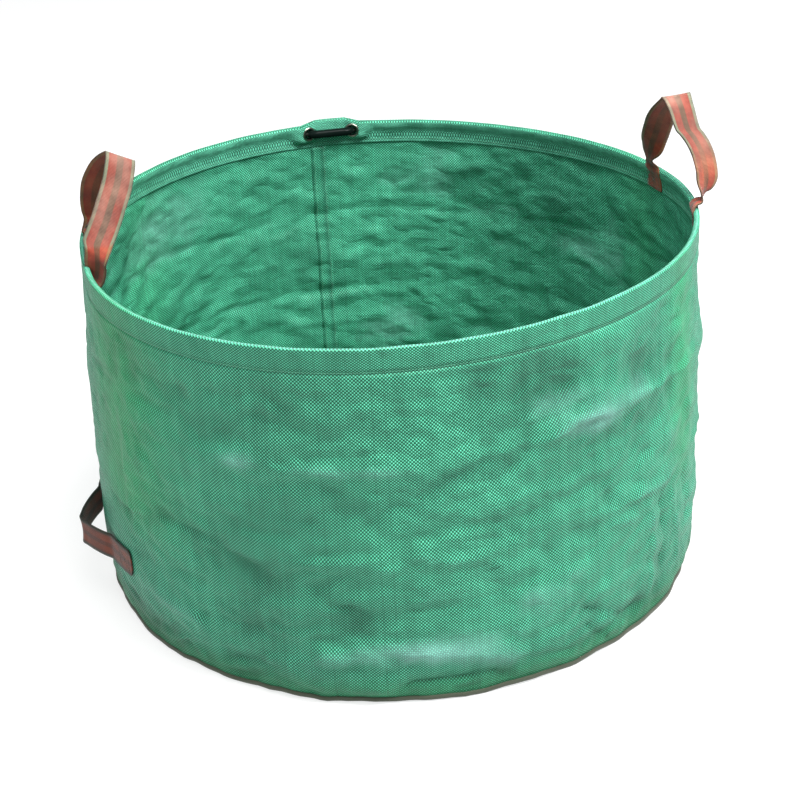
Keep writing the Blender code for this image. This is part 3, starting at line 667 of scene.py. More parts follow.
# Creases: kind, points of azimuth and height, half width and depth in metres
CREASES = (
    ("valley", ((200, 0.190), (213, 0.186), (227, 0.215), (237, 0.207), (249, 0.171), (254, 0.160)),
     0.0090, 0.0042),
    ("valley", ((243, 0.395), (248, 0.388), (256, 0.380)), 0.0080, 0.0016),
    ("ridge", ((296.0, 0.331), (303.0, 0.344), (311.5, 0.339)), 0.0042, 0.0026),
    ("valley", ((271, 0.283), (275, 0.293), (281, 0.316), (289, 0.323), (296, 0.337)),
     0.0100, 0.0024),
    ("valley", ((273, 0.220), (278, 0.243), (289, 0.241), (297, 0.246)), 0.0090, 0.0026),
    ("tuck", ((283, 0.197), (287, 0.174)), 0.0045, 0.0014),
    ("ridge", ((209, 0.094), (219, 0.092), (231, 0.084), (238, 0.072)), 0.0130, 0.0042),
    ("valley", ((229, 0.092), (237, 0.101), (245, 0.094), (254, 0.080)), 0.0110, 0.0044),
    ("ridge", ((252, 0.066), (268, 0.082), (282, 0.067), (291, 0.038)), 0.0150, 0.0052),
    ("valley", ((235, 0.036), (243, 0.047), (250, 0.040)), 0.0060, 0.0034),
    ("valley", ((266, 0.012), (271, 0.032), (284, 0.036), (290, 0.018)), 0.0060, 0.0050),
    ("valley", ((288, 0.050), (299, 0.030), (309, 0.034)), 0.0080, 0.0030),
    ("valley", ((299.5, 0.098), (306, 0.070), (312.5, 0.042), (322, 0.030)), 0.0070, 0.0050),
    ("valley", ((302.0, 0.068), (306, 0.036), (311, 0.004)), 0.0036, 0.0030),
    ("ridge", ((306.5, 0.070), (311, 0.035), (316, 0.012)), 0.0060, 0.0026),
    ("ridge", ((319.0, 0.205), (320.2, 0.160), (321.4, 0.111), (321.0, 0.030)), 0.0055, 0.0036),
    ("valley", ((323.0, 0.203), (324.2, 0.160), (325.5, 0.100), (325.0, 0.040)), 0.0050, 0.0036),
    ("ridge", ((326.5, 0.200), (328.5, 0.145), (331.0, 0.090), (332, 0.030)), 0.0055, 0.0034),
    ("valley", ((331.5, 0.205), (334.5, 0.150), (337.0, 0.080)), 0.0060, 0.0034),
    ("ridge", ((330, 0.430), (334, 0.330), (337, 0.215)), 0.0110, 0.0022),
    ("valley", ((205, 0.440), (208, 0.330), (206, 0.240)), 0.0140, 0.0022),
    ("ridge", ((200, 0.110), (204, 0.075), (207, 0.030)), 0.0060, 0.0022),
    ("tuck", ((223, 0.020), (228, 0.040), (232, 0.018)), 0.0060, 0.0020),
    ("tuck", ((256, 0.150), (266, 0.140), (279, 0.148)), 0.0070, 0.0014),
    ("valley", ((258, 0.262), (268, 0.256), (277, 0.262)), 0.0120, 0.0016),
    ("ridge", ((214, 0.300), (228, 0.276), (243, 0.262)), 0.0100, 0.0018),
    ("valley", ((212, 0.270), (226, 0.248), (240, 0.238)), 0.0090, 0.0018),
)
# Dents: azimuth, height, half width, half height and depth in metres
DENTS = (
    (297.5, 0.398, 0.040, 0.024, -0.0055), (284.0, 0.405, 0.030, 0.020, -0.0020),
    (308.0, 0.352, 0.030, 0.020, 0.0022), (318.0, 0.372, 0.030, 0.024, -0.0040),
    (240.0, 0.352, 0.030, 0.022, -0.0026), (262.0, 0.120, 0.050, 0.030, -0.0030),
    (299.0, 0.140, 0.034, 0.030, 0.0036), (216.0, 0.130, 0.040, 0.026, -0.0030),
    (226.0, 0.180, 0.034, 0.020, 0.0026), (286.0, 0.270, 0.040, 0.022, 0.0022),
)


print(len(CREASES), "creases and", len(DENTS), "dents at the front, and as many at the back")

# %% [markdown]
# A ridge stands out, a valley goes in, and a tuck does both, one on each side of its line. Each
# fades away at both ends. The back of the bag is hidden in the photograph, so it repeats the
# front, mirrored and a little weaker.

# %% How a crease presses the cloth
MIRROR_AZIMUTH = 4
BACK_SHARE = 0.8


def from_crease(azimuth, height, points):
    """Signed distance from a crease, positive above it, and the share of its length reached."""
    start = points[0][0]
    across = metres_between(azimuth, start)
    knots = [(metres_between(a, start), h) for a, h in points]
    lengths = [math.dist(a, b) for a, b in zip(knots, knots[1:])]
    nearest = np.full(len(azimuth), 9.0)
    signed, reached = np.zeros((2, len(azimuth)))
    gone = 0
    for (x0, z0), (x1, z1), length in zip(knots, knots[1:], lengths):
        run_x, run_z = (x1 - x0) / length, (z1 - z0) / length
        step = np.clip((across - x0) * run_x + (height - z0) * run_z, 0, length)
        off_x, off_z = across - x0 - run_x * step, height - z0 - run_z * step
        away = np.hypot(off_x, off_z)
        closer = away < nearest
        nearest = np.where(closer, away, nearest)
        side = np.where(run_x * off_z - run_z * off_x >= 0, 1.0, -1.0)
        signed = np.where(closer, away * side, signed)
        reached = np.where(closer, (gone + step) / sum(lengths), reached)
        gone += length
    return signed, reached


def crease_relief(azimuth, height, kind, points, half_width, depth):
    off, reached = from_crease(azimuth, height, points)
    taper = smooth(reached / 0.22) * smooth((1 - reached) / 0.22)
    rounded = np.sqrt(off ** 2 + (0.16 * half_width) ** 2)
    press = np.exp(-rounded / half_width) * taper * depth
    if kind == "tuck":
        return press * np.tanh(off / (0.4 * half_width)) * 1.4
    return press if kind == "ridge" else -press


def mirrored(points):
    """The same crease on the far side of the bag, where it runs the other way."""
    return [((2 * MIRROR_AZIMUTH - azimuth) % 360, height) for azimuth, height in points]


def patch(azimuth, height, middle, level, half_width, half_height):
    """1 in the middle of an oval on the wall, falling smoothly to 0 outside it."""
    across = metres_between(azimuth, middle) / half_width
    return np.exp(-across ** 2 - ((height - level) / half_height) ** 2)


print("first crease at the back starts at", mirrored(CREASES[0][1])[0], "degrees and metres")

# %% [markdown]
# The storage folds are sharper below their crest than above it, because the cloth above leans
# on the fold. Low waves from smooth noise keep the wall from looking turned on a lathe, and the
# bottom edge from standing on the floor all round.


# %% Noise, folds and the foot
def soft_noise(azimuth, height, scale, seed, tall=1.0):
    """Smooth noise from -1 to 1 on the wall."""
    turned = np.radians(azimuth)
    points = np.stack(
        (np.cos(turned) * scale, np.sin(turned) * scale, height / RIM_RADIUS * scale * tall + seed),
        axis=-1,
    )
    return np.array([noise.noise(Vector(point)) for point in points]) * 1.6


def fold_relief(azimuth, height, line, seed):
    off = height - np.interp(azimuth % 360, *zip(*line))
    for depth, waves in ((0.0015, 23), (0.0010, 41)):
        off = off - depth * np.sin(np.radians(azimuth * waves))
    strength = 0.62 + 0.55 * soft_noise(azimuth, 0 * height, 3.2, seed)
    width = np.where(off > 0, 0.0085, 0.0050)
    rounded = np.sqrt(off ** 2 + 0.0011 ** 2)
    return 0.0036 * np.clip(strength, 0.12, 1.2) * np.exp(-rounded / width)


def foot_wave(azimuth):
    """How far the bottom edge lifts and how far it stands out, all round."""
    flat = 0 * azimuth
    lift = 0.0016 + 0.0016 * soft_noise(azimuth, flat, 7.0, 3.1)
    lift = lift + 0.0008 * soft_noise(azimuth, flat, 19.0, 8.1)
    out = 0.0022 * soft_noise(azimuth, flat, 6.0, 5.7) + 0.0012 * soft_noise(azimuth, flat, 17, 1.3)
    return np.clip(lift, 0.0, 0.005), out


print("foot lifts, millimetres:", (foot_wave(np.arange(0, 360, 90.0))[0] * 1000).round(1))

# %% [markdown]
# All the reliefs add up. They die away under the tipping handle, so that its sewn ends lie
# flush. Over and under the handle the wall only folds inwards, and so it clears the sewn ends
# when the bag is pressed flat.

# %% The whole relief of the wall
RELIEF = 1.5
TIP_AZIMUTH = 196
TIP_HEIGHT = 0.098


def wall_relief(azimuth, height):
    relief = 0.0022 * soft_noise(azimuth, height, 2.6, 0.0, 1.3)
    relief += 0.0024 * np.abs(soft_noise(azimuth, height, 5.5, 4.4, 1.7)) - 0.0008
    relief -= 0.0017 * np.abs(soft_noise(azimuth, height, 12.0, 7.9, 1.5)) - 0.0006
    relief += 0.00045 * soft_noise(azimuth, height, 26.0, 9.4, 1.8)
    relief += fold_relief(azimuth, height, LOW_FOLD, 2.0)
    relief += 0.8 * fold_relief(azimuth, height, HIGH_FOLD, 6.0)
    for kind, points, half_width, depth in CREASES:
        for line, share in ((points, 1), (mirrored(points), BACK_SHARE)):
            relief += share * crease_relief(azimuth, height, kind, line, half_width, depth)
    for middle, level, half_width, half_height, depth in DENTS:
        for at, share in ((middle, 1), (2 * MIRROR_AZIMUTH - middle, BACK_SHARE)):
            oval = patch(azimuth, height, at, level, half_width, half_height)
            relief += share * depth * oval
    return relief


def beside_handle(azimuth):
    """0 over and under the tipping handle, 1 away from it."""
    return smooth((np.abs(metres_between(azimuth, TIP_AZIMUTH)) - 0.122) / 0.02)


def wall_out(azimuth, height):
    """How far the wall stands out of its plain form."""
    beside = beside_handle(azimuth)
    off_strap = np.maximum(beside, smooth((np.abs(height - TIP_HEIGHT) - 0.022) / 0.018))
    top = smooth((WALL_HEAD - height) / 0.014)
    foot = smooth((height - WALL_FOOT) / 0.010)
    out = RELIEF * wall_relief(azimuth, height) * off_strap * top * foot
    return mix(np.minimum(out, 0.0004), out, beside)


def wall_spot(azimuth, height, inset):
    """Points of the wall, set in from its outer face by this much."""
    azimuth, height = np.broadcast_arrays(np.asarray(azimuth, float), np.asarray(height, float))
    lift, out = foot_wave(azimuth)
    near_foot = smooth(1 - (height - WALL_FOOT) / 0.05)
    radius = wall_radius(height) - inset + wall_out(azimuth, height) + out * near_foot
    return spot(azimuth, radius, height) + (lift * near_foot)[:, None] * (0, 0, 1)


trial = wall_out(np.linspace(0, 359, 360), np.full(360, 0.2)) * 1000
print("relief at the low fold, millimetres:", trial.min().round(1), trial.max().round(1))

# %% [markdown]
# The wall itself is one sheet, 480 columns round and 84 rows high, given its thickness last.
# Painted highlights on raised creases and in patches, a painted lime tint where the light grazes
# the sides and near the floor, and painted shade near the floor and in the valleys of the creases
# are put on its vertices for the weave to read.

# %% Make the wall
WALL_ROWS = 84
WALL_COLUMNS = 480
# Patches of painted highlight and painted light: azimuth, height, half width, half height and
# strength
LIT_PATCHES = (
    (297, 0.378, 0.052, 0.024, 1.0), (305.5, 0.331, 0.034, 0.015, 1.2),
    (318, 0.356, 0.026, 0.020, 0.75), (243.5, 0.330, 0.022, 0.012, 0.6),
    (222, 0.086, 0.056, 0.013, 0.75), (275, 0.080, 0.085, 0.018, 0.8),
    (286, 0.045, 0.035, 0.014, 0.6), (262, 0.325, 0.060, 0.010, 0.35),
    (292, 0.120, 0.022, 0.024, 0.5), (212, 0.360, 0.018, 0.070, 0.25),
    (40, 0.300, 0.060, 0.030, 0.5), (90, 0.130, 0.070, 0.030, 0.5),
    (313, 0.330, 0.070, 0.060, 0.3), (78, 0.395, 0.110, 0.040, 0.45),
    (150, 0.380, 0.200, 0.060, 0.60), (165, 0.110, 0.060, 0.020, 0.5),
)
# Painted lime tints of the light that grazes the sides: azimuth, half width in degrees and strength
LIGHTING_TINT_SIDES = ((214, 13, 1.0), (333, 5.5, 0.6), (25, 6, 0.3), (150, 8, 0.3))


def lit_patches_at(azimuth, height):
    faded = sum(strength * patch(azimuth, height, *oval) for *oval, strength in LIT_PATCHES)
    return np.clip(faded, 0, 1)


def lime_at(azimuth, height):
    sides = sum(
        strength * bell(turn_between(azimuth, middle) / width) for middle, width, strength in LIGHTING_TINT_SIDES
    )
    # Near the floor the painted tint is strong all round.
    foot = 0.8 * smooth(1 - height / 0.055)
    return np.clip(sides * smooth((height - 0.12) / 0.12) + foot, 0, 1)


def make_wall():
    data, length, azimuth, up = round_sheet(WALL_COLUMNS, WALL_ROWS)
    height = mix(WALL_FOOT, WALL_HEAD, up)
    map_cloth(data, length, height)
    move_vertices(data, wall_spot(azimuth, height, MID))
    raised = wall_out(azimuth, height)
    # Painted highlights on raised creases and in the listed patches, kept mostly off the left side.
    green = 1 - 0.75 * bell(turn_between(azimuth, 219) / 17)
    pale = (lit_patches_at(azimuth, height) + raised * 70 - 0.25) * green
    paint(data, "pale", pale * smooth((height - 0.01) / 0.05))
    paint(data, "lime", lime_at(azimuth, height))
    # Painted shade near the floor and in the valleys of the creases.
    paint(data, "soil", smooth(1 - height / 0.075) * 0.75 + np.clip(-raised * 140, 0, 0.8))
    wall = thicken(add_object("wall_cloth", face_out(close_sheet(data)), WOVEN))
    belongs(bake_modifiers(wall), "bag_base", "woven_green", "wall_panel")
    sinks(wall)
    return wall


print("wall:", len(make_wall().data.vertices), "vertices")

# %% [markdown]
# A stitch is a small bead of thread. One bead is put down again and again along a line, turned
# to the way that the line runs there.


# %% Stitches along a line
def distances(points):
    """How far along a line each of its points lies."""
    steps = np.linalg.norm(np.diff(points, axis=0), axis=1)
    return np.concatenate(([0], np.cumsum(steps)))


def at_stops(points, stops):
    """Places at these distances along a line of points."""
    gone = distances(points)
    return np.stack([np.interp(stops, gone, part) for part in points.T], axis=-1)


def along_line(points, pitch):
    """Middles and directions of stitches, one every pitch along a line of points."""
    length = distances(points)[-1]
    count = max(1, int(length / pitch))
    middles = (np.arange(count) + 0.5) * length / count
    places = at_stops(points, middles)
    return places, at_stops(points, middles + 0.0004) - places


def sew(name, lines, finish, pitch=0.0034, length=0.0027, radius=0.0004):
    mesh = bmesh.new()
    bmesh.ops.create_uvsphere(mesh, u_segments=6, v_segments=4, radius=1)
    bead = kept_mesh(mesh, "bead")
    mesh = bmesh.new()
    size = Matrix.Diagonal((radius, radius, length / 2, 1))
    for points in lines:
        for place, run in zip(*along_line(points, pitch)):
            turned = Vector(run).to_track_quat("Z", "Y").to_matrix().to_4x4()
            placed = Matrix.Translation(Vector(place)) @ turned @ size
            bead.transform(placed)
            mesh.from_mesh(bead)
            bead.transform(placed.inverted())
    data = kept_mesh(mesh, name)
    data.shade_smooth()
    return add_object(name, data, finish)


print("stitches on a metre:", len(along_line(np.array(((0, 0, 0), (1, 0, 0))), 0.0034)[0]))

# %% [markdown]
# The wall is one length of cloth, so it has one upright seam, where its ends lap inside at the
# back. The lap is a narrow strip that follows the wall's own relief, with two rows of stitches,
# some painted shade all over and a painted shadow line beside its middle.

# %% The wall's seam
LAP_WIDTH = 0.022
LAP_FOOT = 0.0200
LAP_HEAD = 0.4418


def make_seam_lap():
    data, across, up = flat_sheet(4, 80)
    height = mix(LAP_FOOT, LAP_HEAD, up)
    side = (across - 0.5) * LAP_WIDTH
    map_cloth(data, side, height)
    inset = FABRIC + SEAT + MID + 0.0002 * np.sin(height * 90)
    move_vertices(data, wall_spot(SEAM_AZIMUTH + np.degrees(side / RIM_RADIUS), height, inset))
    # Painted shade all over the lap, and a painted shadow line 5 millimetres to one side of its
    # middle.
    paint(data, "soil", 0.25 + 0.75 * bell((side + 0.005) / 0.0013))
    lap = bake_modifiers(thicken(add_object("seam_lap", face_out(data), WOVEN)))
    belongs(lap, "bag_base", "woven_green", "wall_seam_lap")
    sinks(lap)


def make_seam_stitches():
    height = np.linspace(0.0215, 0.4400, 60)
    inset = 2 * FABRIC + SEAT + 0.0001
    rows = [wall_spot(SEAM_AZIMUTH + side, height, inset) for side in (1.0, -1.1)]
    thread = sew("wall_seam_stitches", rows, GREEN_THREAD)
    sinks(belongs(thread, "bag_base", "thread", "wall_seam_stitching"))
    return thread


make_seam_lap()
print("seam stitches:", len(make_seam_stitches().data.polygons), "faces")

# %% [markdown]
# ## The base
#
# The base is a disc with its edge turned up to meet the wall. Its sheet goes round from the seam
# and out from the axis, and the points that fall together in the middle are merged, so that the
# pole is closed.

# %% Base
BASE_PROFILE = ((0.0, 0.0005), (0.3955, 0.0005), (0.4018, 0.0032), (0.4035, 0.0070))


def base_profile_at(share):
    """Radius and height a share of the way from the middle to the turned-up edge."""
    knots = np.array(BASE_PROFILE)
    return at_stops(knots, share * distances(knots)[-1]).T


def make_base():
    data, _, azimuth, out_share = round_sheet(240, 44)
    radius, height = base_profile_at(1 - (1 - out_share) ** 1.8)
    lift, out = foot_wave(azimuth)
    edge = smooth((radius - 0.372) / 0.03)
    ripple = 0.0011 * (soft_noise(azimuth, radius * 0, 4.0, 7.0) + 1) * smooth(radius / 0.2)
    ripple = ripple * smooth((0.39 - radius) / 0.05)
    points = spot(azimuth, radius + out * edge, height + lift * edge + ripple)
    points[out_share < 1e-6] = (0, 0, BASE_PROFILE[0][1])
    map_cloth(data, points[:, 0], points[:, 1])
    move_vertices(data, points)
    # Painted shade on the whole base, and more at its edge where it meets the wall.
    paint(data, "soil", 0.25 + 0.3 * smooth((radius - 0.38) / 0.02))
    base = thicken(add_object("base_cloth", face_out(close_sheet(data), (0, 0, -1)), WOVEN))
    belongs(base, "bag_base", "woven_green", "base_panel")
    return base


print("base:", len(make_base().data.vertices), "vertices")

# %% [markdown]
# The seam between wall and base is bound. Outside, a thin dark strip where the wall meets the
# base stands for the base cloth's turned edge and a painted shadow line. Inside, the binding is
# folded over the seam's allowance and sewn through.


# %% Binding and stitches of the base seam
# A dark strip round the foot, for the base cloth's turned edge and a painted shadow line.
def make_dark_foot_strip():
    data, length, azimuth, up = round_sheet(300, 6)
    lift, out = foot_wave(azimuth)
    bend = np.radians(mix(-78, 62, 1 - up))
    radius = 0.4030 + 0.0021 * np.cos(bend) + out
    height = np.maximum(0.0040 - 0.0034 * np.sin(bend) + lift, 0.0004)
    map_cloth(data, length, up * 0.006)
    move_vertices(data, spot(azimuth, radius, height))
    edge = thicken(add_object("bound_edge", face_out(close_sheet(data)), BINDING), 0.0006)
    belongs(edge, "bag_base", "thread")


# The binding's section: radius and height
BINDING_LINE = np.array((
    (0.4012, 0.0058), (0.4012, 0.0100), (0.4012, 0.0140), (0.4010, 0.0170), (0.4004, 0.0186),
    (0.3998, 0.0186), (0.3994, 0.0170), (0.3993, 0.0140), (0.3993, 0.0100), (0.3994, 0.0062),
    (0.4000, 0.0050), (0.4008, 0.0050),
))


def make_binding():
    rows = len(BINDING_LINE) - 1
    data, length, azimuth, up = round_sheet(240, rows)
    lift, out = foot_wave(azimuth)
    radius, height = BINDING_LINE[np.round(up * rows).astype(int)].T
    map_cloth(data, length, up * 0.03)
    move_vertices(data, spot(azimuth, radius + out, height + lift))
    data = face_out(close_sheet(data), (0, 0, 1))
    binding = thicken(add_object("inner_binding", data, BINDING), 0.0004)
    belongs(binding, "bag_base", "woven_green", "base_seam_binding")


def make_base_stitches():
    azimuth = np.linspace(0, 360, 721)
    lift, out = foot_wave(azimuth)
    ring = spot(azimuth, 0.3988 + out, 0.0118 + lift)
    thread = sew("base_seam_stitches", [ring], GREEN_THREAD, pitch=0.0042, length=0.0032)
    return belongs(thread, "bag_base", "thread", "base_seam_stitching")


make_dark_foot_strip()
make_binding()
print("base stitches:", len(make_base_stitches().data.polygons), "faces")

# %% [markdown]
# ## The hem
#
# The hem is the wall's top edge folded over the hoop and sewn down inside. Its section changes
# round the rim: drawn like a drop over the rod, upright at the two eyelets, and empty and flat
# between them, where it bulges up. Each section is a line of ten points, smoothed by a curve
# that passes through them all. Columns are packed closer near the joint of the hoop.

# %% Sections of the hem
OUTER_MID = 0.3996
INNER_MID = 0.3929
UPRIGHT_INNER = 0.3895
EMPTY_MID = 0.3973
STITCH_MID = 0.3981
STITCH_HEIGHT = 0.449
HEM_TAIL_FOOT = 0.443
POCKET_FOOT = 0.4542
ROD_RADIUS = 0.3963
ROD_HEIGHT = 0.4732
ROLL = 0.0034
EYELET_HEIGHT = 0.4645
JOINT_BULGE = 0.0063
# Metres from the hoop's joint at which the hem is empty, upright and round
EMPTY_AT, UPRIGHT_AT, ROUND_AT = 0.022, 0.044, 0.066
CHANGE_LENGTH = 0.022
STITCHED = [(STITCH_MID, STITCH_HEIGHT), (STITCH_MID, HEM_TAIL_FOOT)]
# How far the roll's slanting points lie from the rod's middle, sideways and up
SIDE = ROLL * math.sin(math.radians(45))
HEM_ROUND = np.array((
    (OUTER_MID, HEM_FOOT), (OUTER_MID, ROD_HEIGHT), (ROD_RADIUS + SIDE, ROD_HEIGHT + SIDE),
    (ROD_RADIUS, ROD_HEIGHT + ROLL), (ROD_RADIUS - SIDE, ROD_HEIGHT + SIDE),
    (INNER_MID, ROD_HEIGHT), (0.3940, 0.4675), (0.3968, 0.4600), *STITCHED,
))
TOP, UPPER = STANDING_HEIGHT - MID, 0.4748
HEM_UPRIGHT = np.array((
    (OUTER_MID, HEM_FOOT), (OUTER_MID, UPPER - 0.001), (OUTER_MID - 0.001, TOP - 0.0005),
    (0.3945, TOP), (UPRIGHT_INNER + 0.001, TOP - 0.0005), (UPRIGHT_INNER, UPPER),
    (UPRIGHT_INNER, EYELET_HEIGHT), (UPRIGHT_INNER, POCKET_FOOT), *STITCHED,
))
BULGE_TOP = STANDING_HEIGHT + JOINT_BULGE
QUARTER = (OUTER_MID - EMPTY_MID) / 4
HEM_EMPTY = np.array((
    (OUTER_MID, HEM_FOOT), (OUTER_MID, BULGE_TOP - 0.003), (OUTER_MID - QUARTER, BULGE_TOP - 0.001),
    ((OUTER_MID + EMPTY_MID) / 2, BULGE_TOP), (EMPTY_MID + QUARTER, BULGE_TOP - 0.001),
    (EMPTY_MID, BULGE_TOP - 0.003), (EMPTY_MID, (BULGE_TOP + POCKET_FOOT) / 2),
    (EMPTY_MID, POCKET_FOOT), *STITCHED,
))
# How much each of the ten points waves up and down
WAVING = np.array((0, 0.2, 0.8, 1, 0.8, 0.3, 0.1, 0, 0, 0)) * 0.0007


def hem_section(azimuth):
    """The hem's ten points at one azimuth, as rows of radius and height."""
    away = abs(float(metres_between(azimuth, JOINT_AZIMUTH)))
    if away >= UPRIGHT_AT:
        line = mix(HEM_ROUND, HEM_UPRIGHT, float(smooth((ROUND_AT - away) / CHANGE_LENGTH)))
    else:
        line = mix(HEM_UPRIGHT, HEM_EMPTY, min(1.0, (UPRIGHT_AT - away) / CHANGE_LENGTH))
    wavy = float(soft_noise(np.array([azimuth]), np.zeros(1), 9.0, 2.2)[0])
    line[:, 1] += WAVING * wavy
    line[6:8, 0] += 0.0009 * wavy * (away > ROUND_AT)
    return line


def curve_through(knots, samples):
    """A smooth line through all the knots."""
    knots = np.asarray(knots, float)
    knots = np.vstack((2 * knots[0] - knots[1], knots, 2 * knots[-1] - knots[-2]))
    made = []
    for a, b, c, d in zip(knots, knots[1:], knots[2:], knots[3:]):
        for t in np.arange(samples) / samples:
            made.append((b * 2 + (c - a) * t + (a * 2 - b * 5 + c * 4 - d) * t ** 2
                         + (b * 3 - a - c * 3 + d) * t ** 3) / 2)
    return np.array(made + [knots[-2]])


print("points in a smoothed section:", len(curve_through(hem_section(0), 4)))

# %% [markdown]
# The holes for the eyelets are cut with a Boolean, after the sheet has its thickness. The
# cutters are plain cylinders, square to the inner leaf where it slants between its two shapes.


# %% Holes for the eyelets
def eyelet_frame(side):
    """Where an eyelet sits: Z points into the bag, square to the hem's inner leaf."""
    ends = []
    for stop, radius in ((UPRIGHT_AT, UPRIGHT_INNER), (EMPTY_AT, EMPTY_MID)):
        azimuth = JOINT_AZIMUTH + side * math.degrees(stop / RIM_RADIUS)
        ends.append(Vector(spot(azimuth, radius, EYELET_HEIGHT)))
    along = (ends[1] - ends[0]).normalized()
    inward = along.cross(Vector((0, 0, 1)))
    if inward.dot(ends[0]) > 0:
        inward.negate()
    basis = Matrix((along, inward.cross(along), inward)).transposed().to_4x4()
    return Matrix.Translation((ends[0] + ends[1]) / 2) @ basis


def hole_cutter(side):
    mesh = bmesh.new()
    bmesh.ops.create_cone(
        mesh, cap_ends=True, segments=36, radius1=0.0083, radius2=0.0083, depth=0.006,
        matrix=eyelet_frame(side),
    )
    return add_object("hole_cutter", kept_mesh(mesh, "hole_cutter"), NICKEL)


def cut_holes(piece):
    cutters = [hole_cutter(side) for side in (-1, 1)]
    for cutter in cutters:
        cut = piece.modifiers.new("eyelet_hole", "BOOLEAN")
        cut.object = cutter
        cut.solver = "EXACT"
    bake_modifiers(piece)
    for cutter in cutters:
        bpy.data.objects.remove(cutter, do_unlink=True)


print("right eyelet at", [round(value, 4) for value in eyelet_frame(-1).translation])

# %% [markdown]
# The hem has a painted highlight along its top at the front, painted shade along its top at the
# back and in the groove of its stitches, a little painted shade all over its outer leaf and
# painted light on its inner leaf. It takes the wall's painted lime tint, a little weaker.

# %% Make the hem
HEM_SAMPLES = 4
HEM_COLUMNS = 480


def packed_azimuth(azimuth):
    """Even azimuths drawn together round the joint of the hoop."""
    away = turn_between(azimuth, JOINT_AZIMUTH)
    return JOINT_AZIMUTH + away - math.degrees(0.55) * np.sin(np.radians(away))


def make_hem():
    rows = 9 * HEM_SAMPLES
    data, share, down = flat_sheet(HEM_COLUMNS, rows)
    azimuth = packed_azimuth(SEAM_AZIMUTH + 360 * share)
    row = np.round(down * rows).astype(int)
    column = np.round(share * HEM_COLUMNS).astype(int)
    turns = packed_azimuth(SEAM_AZIMUTH + 360 * np.arange(HEM_COLUMNS + 1) / HEM_COLUMNS)
    sections = np.array([curve_through(hem_section(turned), HEM_SAMPLES) for turned in turns])
    radius, height = sections[column, row].T
    length = np.radians((azimuth - SEAM_AZIMUTH) % 360) * RIM_RADIUS
    length[column == HEM_COLUMNS] = ROUND_LENGTH
    map_cloth(data, length, distances(sections[0])[row])
    move_vertices(data, spot(azimuth, radius, height))
    front = smooth(np.abs(turn_between(azimuth, JOINT_AZIMUTH)) / 40 - 1.6)
    top_band = bell((row - 3 * HEM_SAMPLES) / 2.6)
    inside = smooth((row - 4 * HEM_SAMPLES) / 5)
    # Painted highlight on the top at the front, and painted light on the inner leaf.
    paint(data, "pale", 0.55 * top_band * front + 0.22 * inside)
    groove = bell((height - STITCH_HEIGHT) / 0.0011) * (1 - inside)
    shaded_top = top_band * (1 - front) * 0.6
    # Painted shade in the stitches' groove, on the top at the back, and a little on the outer leaf.
    paint(data, "soil", groove * 0.9 + shaded_top + 0.10 * (1 - inside))
    paint(data, "lime", 0.6 * lime_at(azimuth, height))
    hem = thicken(add_object("hem_cloth", face_out(close_sheet(data)), WOVEN), 0.0008)
    cut_holes(hem)
    belongs(hem, "rim", "woven_green", "rim_hem")
    return hem


def make_hem_stitches():
    azimuth = np.linspace(0, 360, 1441)
    outside = spot(azimuth, RIM_RADIUS + 0.0002, STITCH_HEIGHT)
    inside = spot(azimuth, STITCH_MID - MID - 0.0001, STITCH_HEIGHT - 0.0006)
    thread = sew("hem_stitches", [outside, inside], GREEN_THREAD, pitch=0.0036, length=0.0029)
    return belongs(thread, "rim", "thread", "hem_stitching")


print("hem:", len(make_hem().data.polygons), "faces")
print("hem stitches:", len(make_hem_stitches().data.polygons), "faces")

# %% [markdown]
# ## The hoop's joint
#
# At the back the hoop leaves the hem through one eyelet, its two ends meet in a black sleeve
# and it goes back in through the other. The rod and the sleeve follow one line, so both are
# curves with a round bevel. The sleeve's points have their own radii, which neck it at its ends.

# %% Hoop and sleeve
# Metres from the joint at which the rod begins to bend out of the hem, and its radius outside it
BEND_START = 0.0421
JOINT_RADIUS = RIM_RADIUS - 0.0110


def hoop_line(along):
    """The middle of the rod at these distances along the rim from its joint."""
    away = np.abs(along)
    inwards = smooth((BEND_START - away) / 0.024)
    down = smooth((ROUND_AT - away) / CHANGE_LENGTH)
    radius = mix(ROD_RADIUS, JOINT_RADIUS, inwards)
    azimuth = JOINT_AZIMUTH + np.degrees(along / RIM_RADIUS)
    return spot(azimuth, radius, mix(ROD_HEIGHT, EYELET_HEIGHT, down))


def round_bar(name, stops, radius, finish, factors=None, sides=3):
    data = bpy.data.curves.new(name, "CURVE")
    data.dimensions = "3D"
    data.bevel_depth = radius
    data.bevel_resolution = sides
    data.use_fill_caps = True
    line = data.splines.new("POLY")
    line.points.add(len(stops) - 1)
    for number, (knot, point) in enumerate(zip(line.points, hoop_line(stops))):
        knot.co = (*point, 1)
        knot.radius = 1 if factors is None else factors[number]
    return add_object(name, data, finish)


near_joint = np.linspace(0.0005, 0.07, 40)
far_side = np.linspace(0.07, math.pi * RIM_RADIUS, 150)
ahead = np.concatenate((near_joint, far_side[1:-1]))
rod_stops = np.concatenate((ahead, far_side[-1:], -ahead[::-1]))
belongs(round_bar("hoop_rod", rod_stops, 0.0027, ROD), "rim", "hoop_rod", "rim_hoop")
sleeve_stops = np.linspace(-0.0330, 0.0330, 61)
neck = smooth((np.abs(sleeve_stops) - 0.0285) / 0.0040)
factors = mix(1.0, 0.78, neck) - 0.03 * bell(sleeve_stops / 0.0012)
sleeve = round_bar("sleeve", sleeve_stops, 0.0060, SLEEVE, factors, sides=8)
belongs(sleeve, "rim", "hoop_sleeve", "hoop_sleeve")
print("sleeve points:", len(sleeve.data.splines[0].points))

# %% [markdown]
# An eyelet is a tube with a rolled flange, pressed through the cloth on to a washer behind.
# Its outline is spun round its own axis with the merge switched on, and carried to its place.


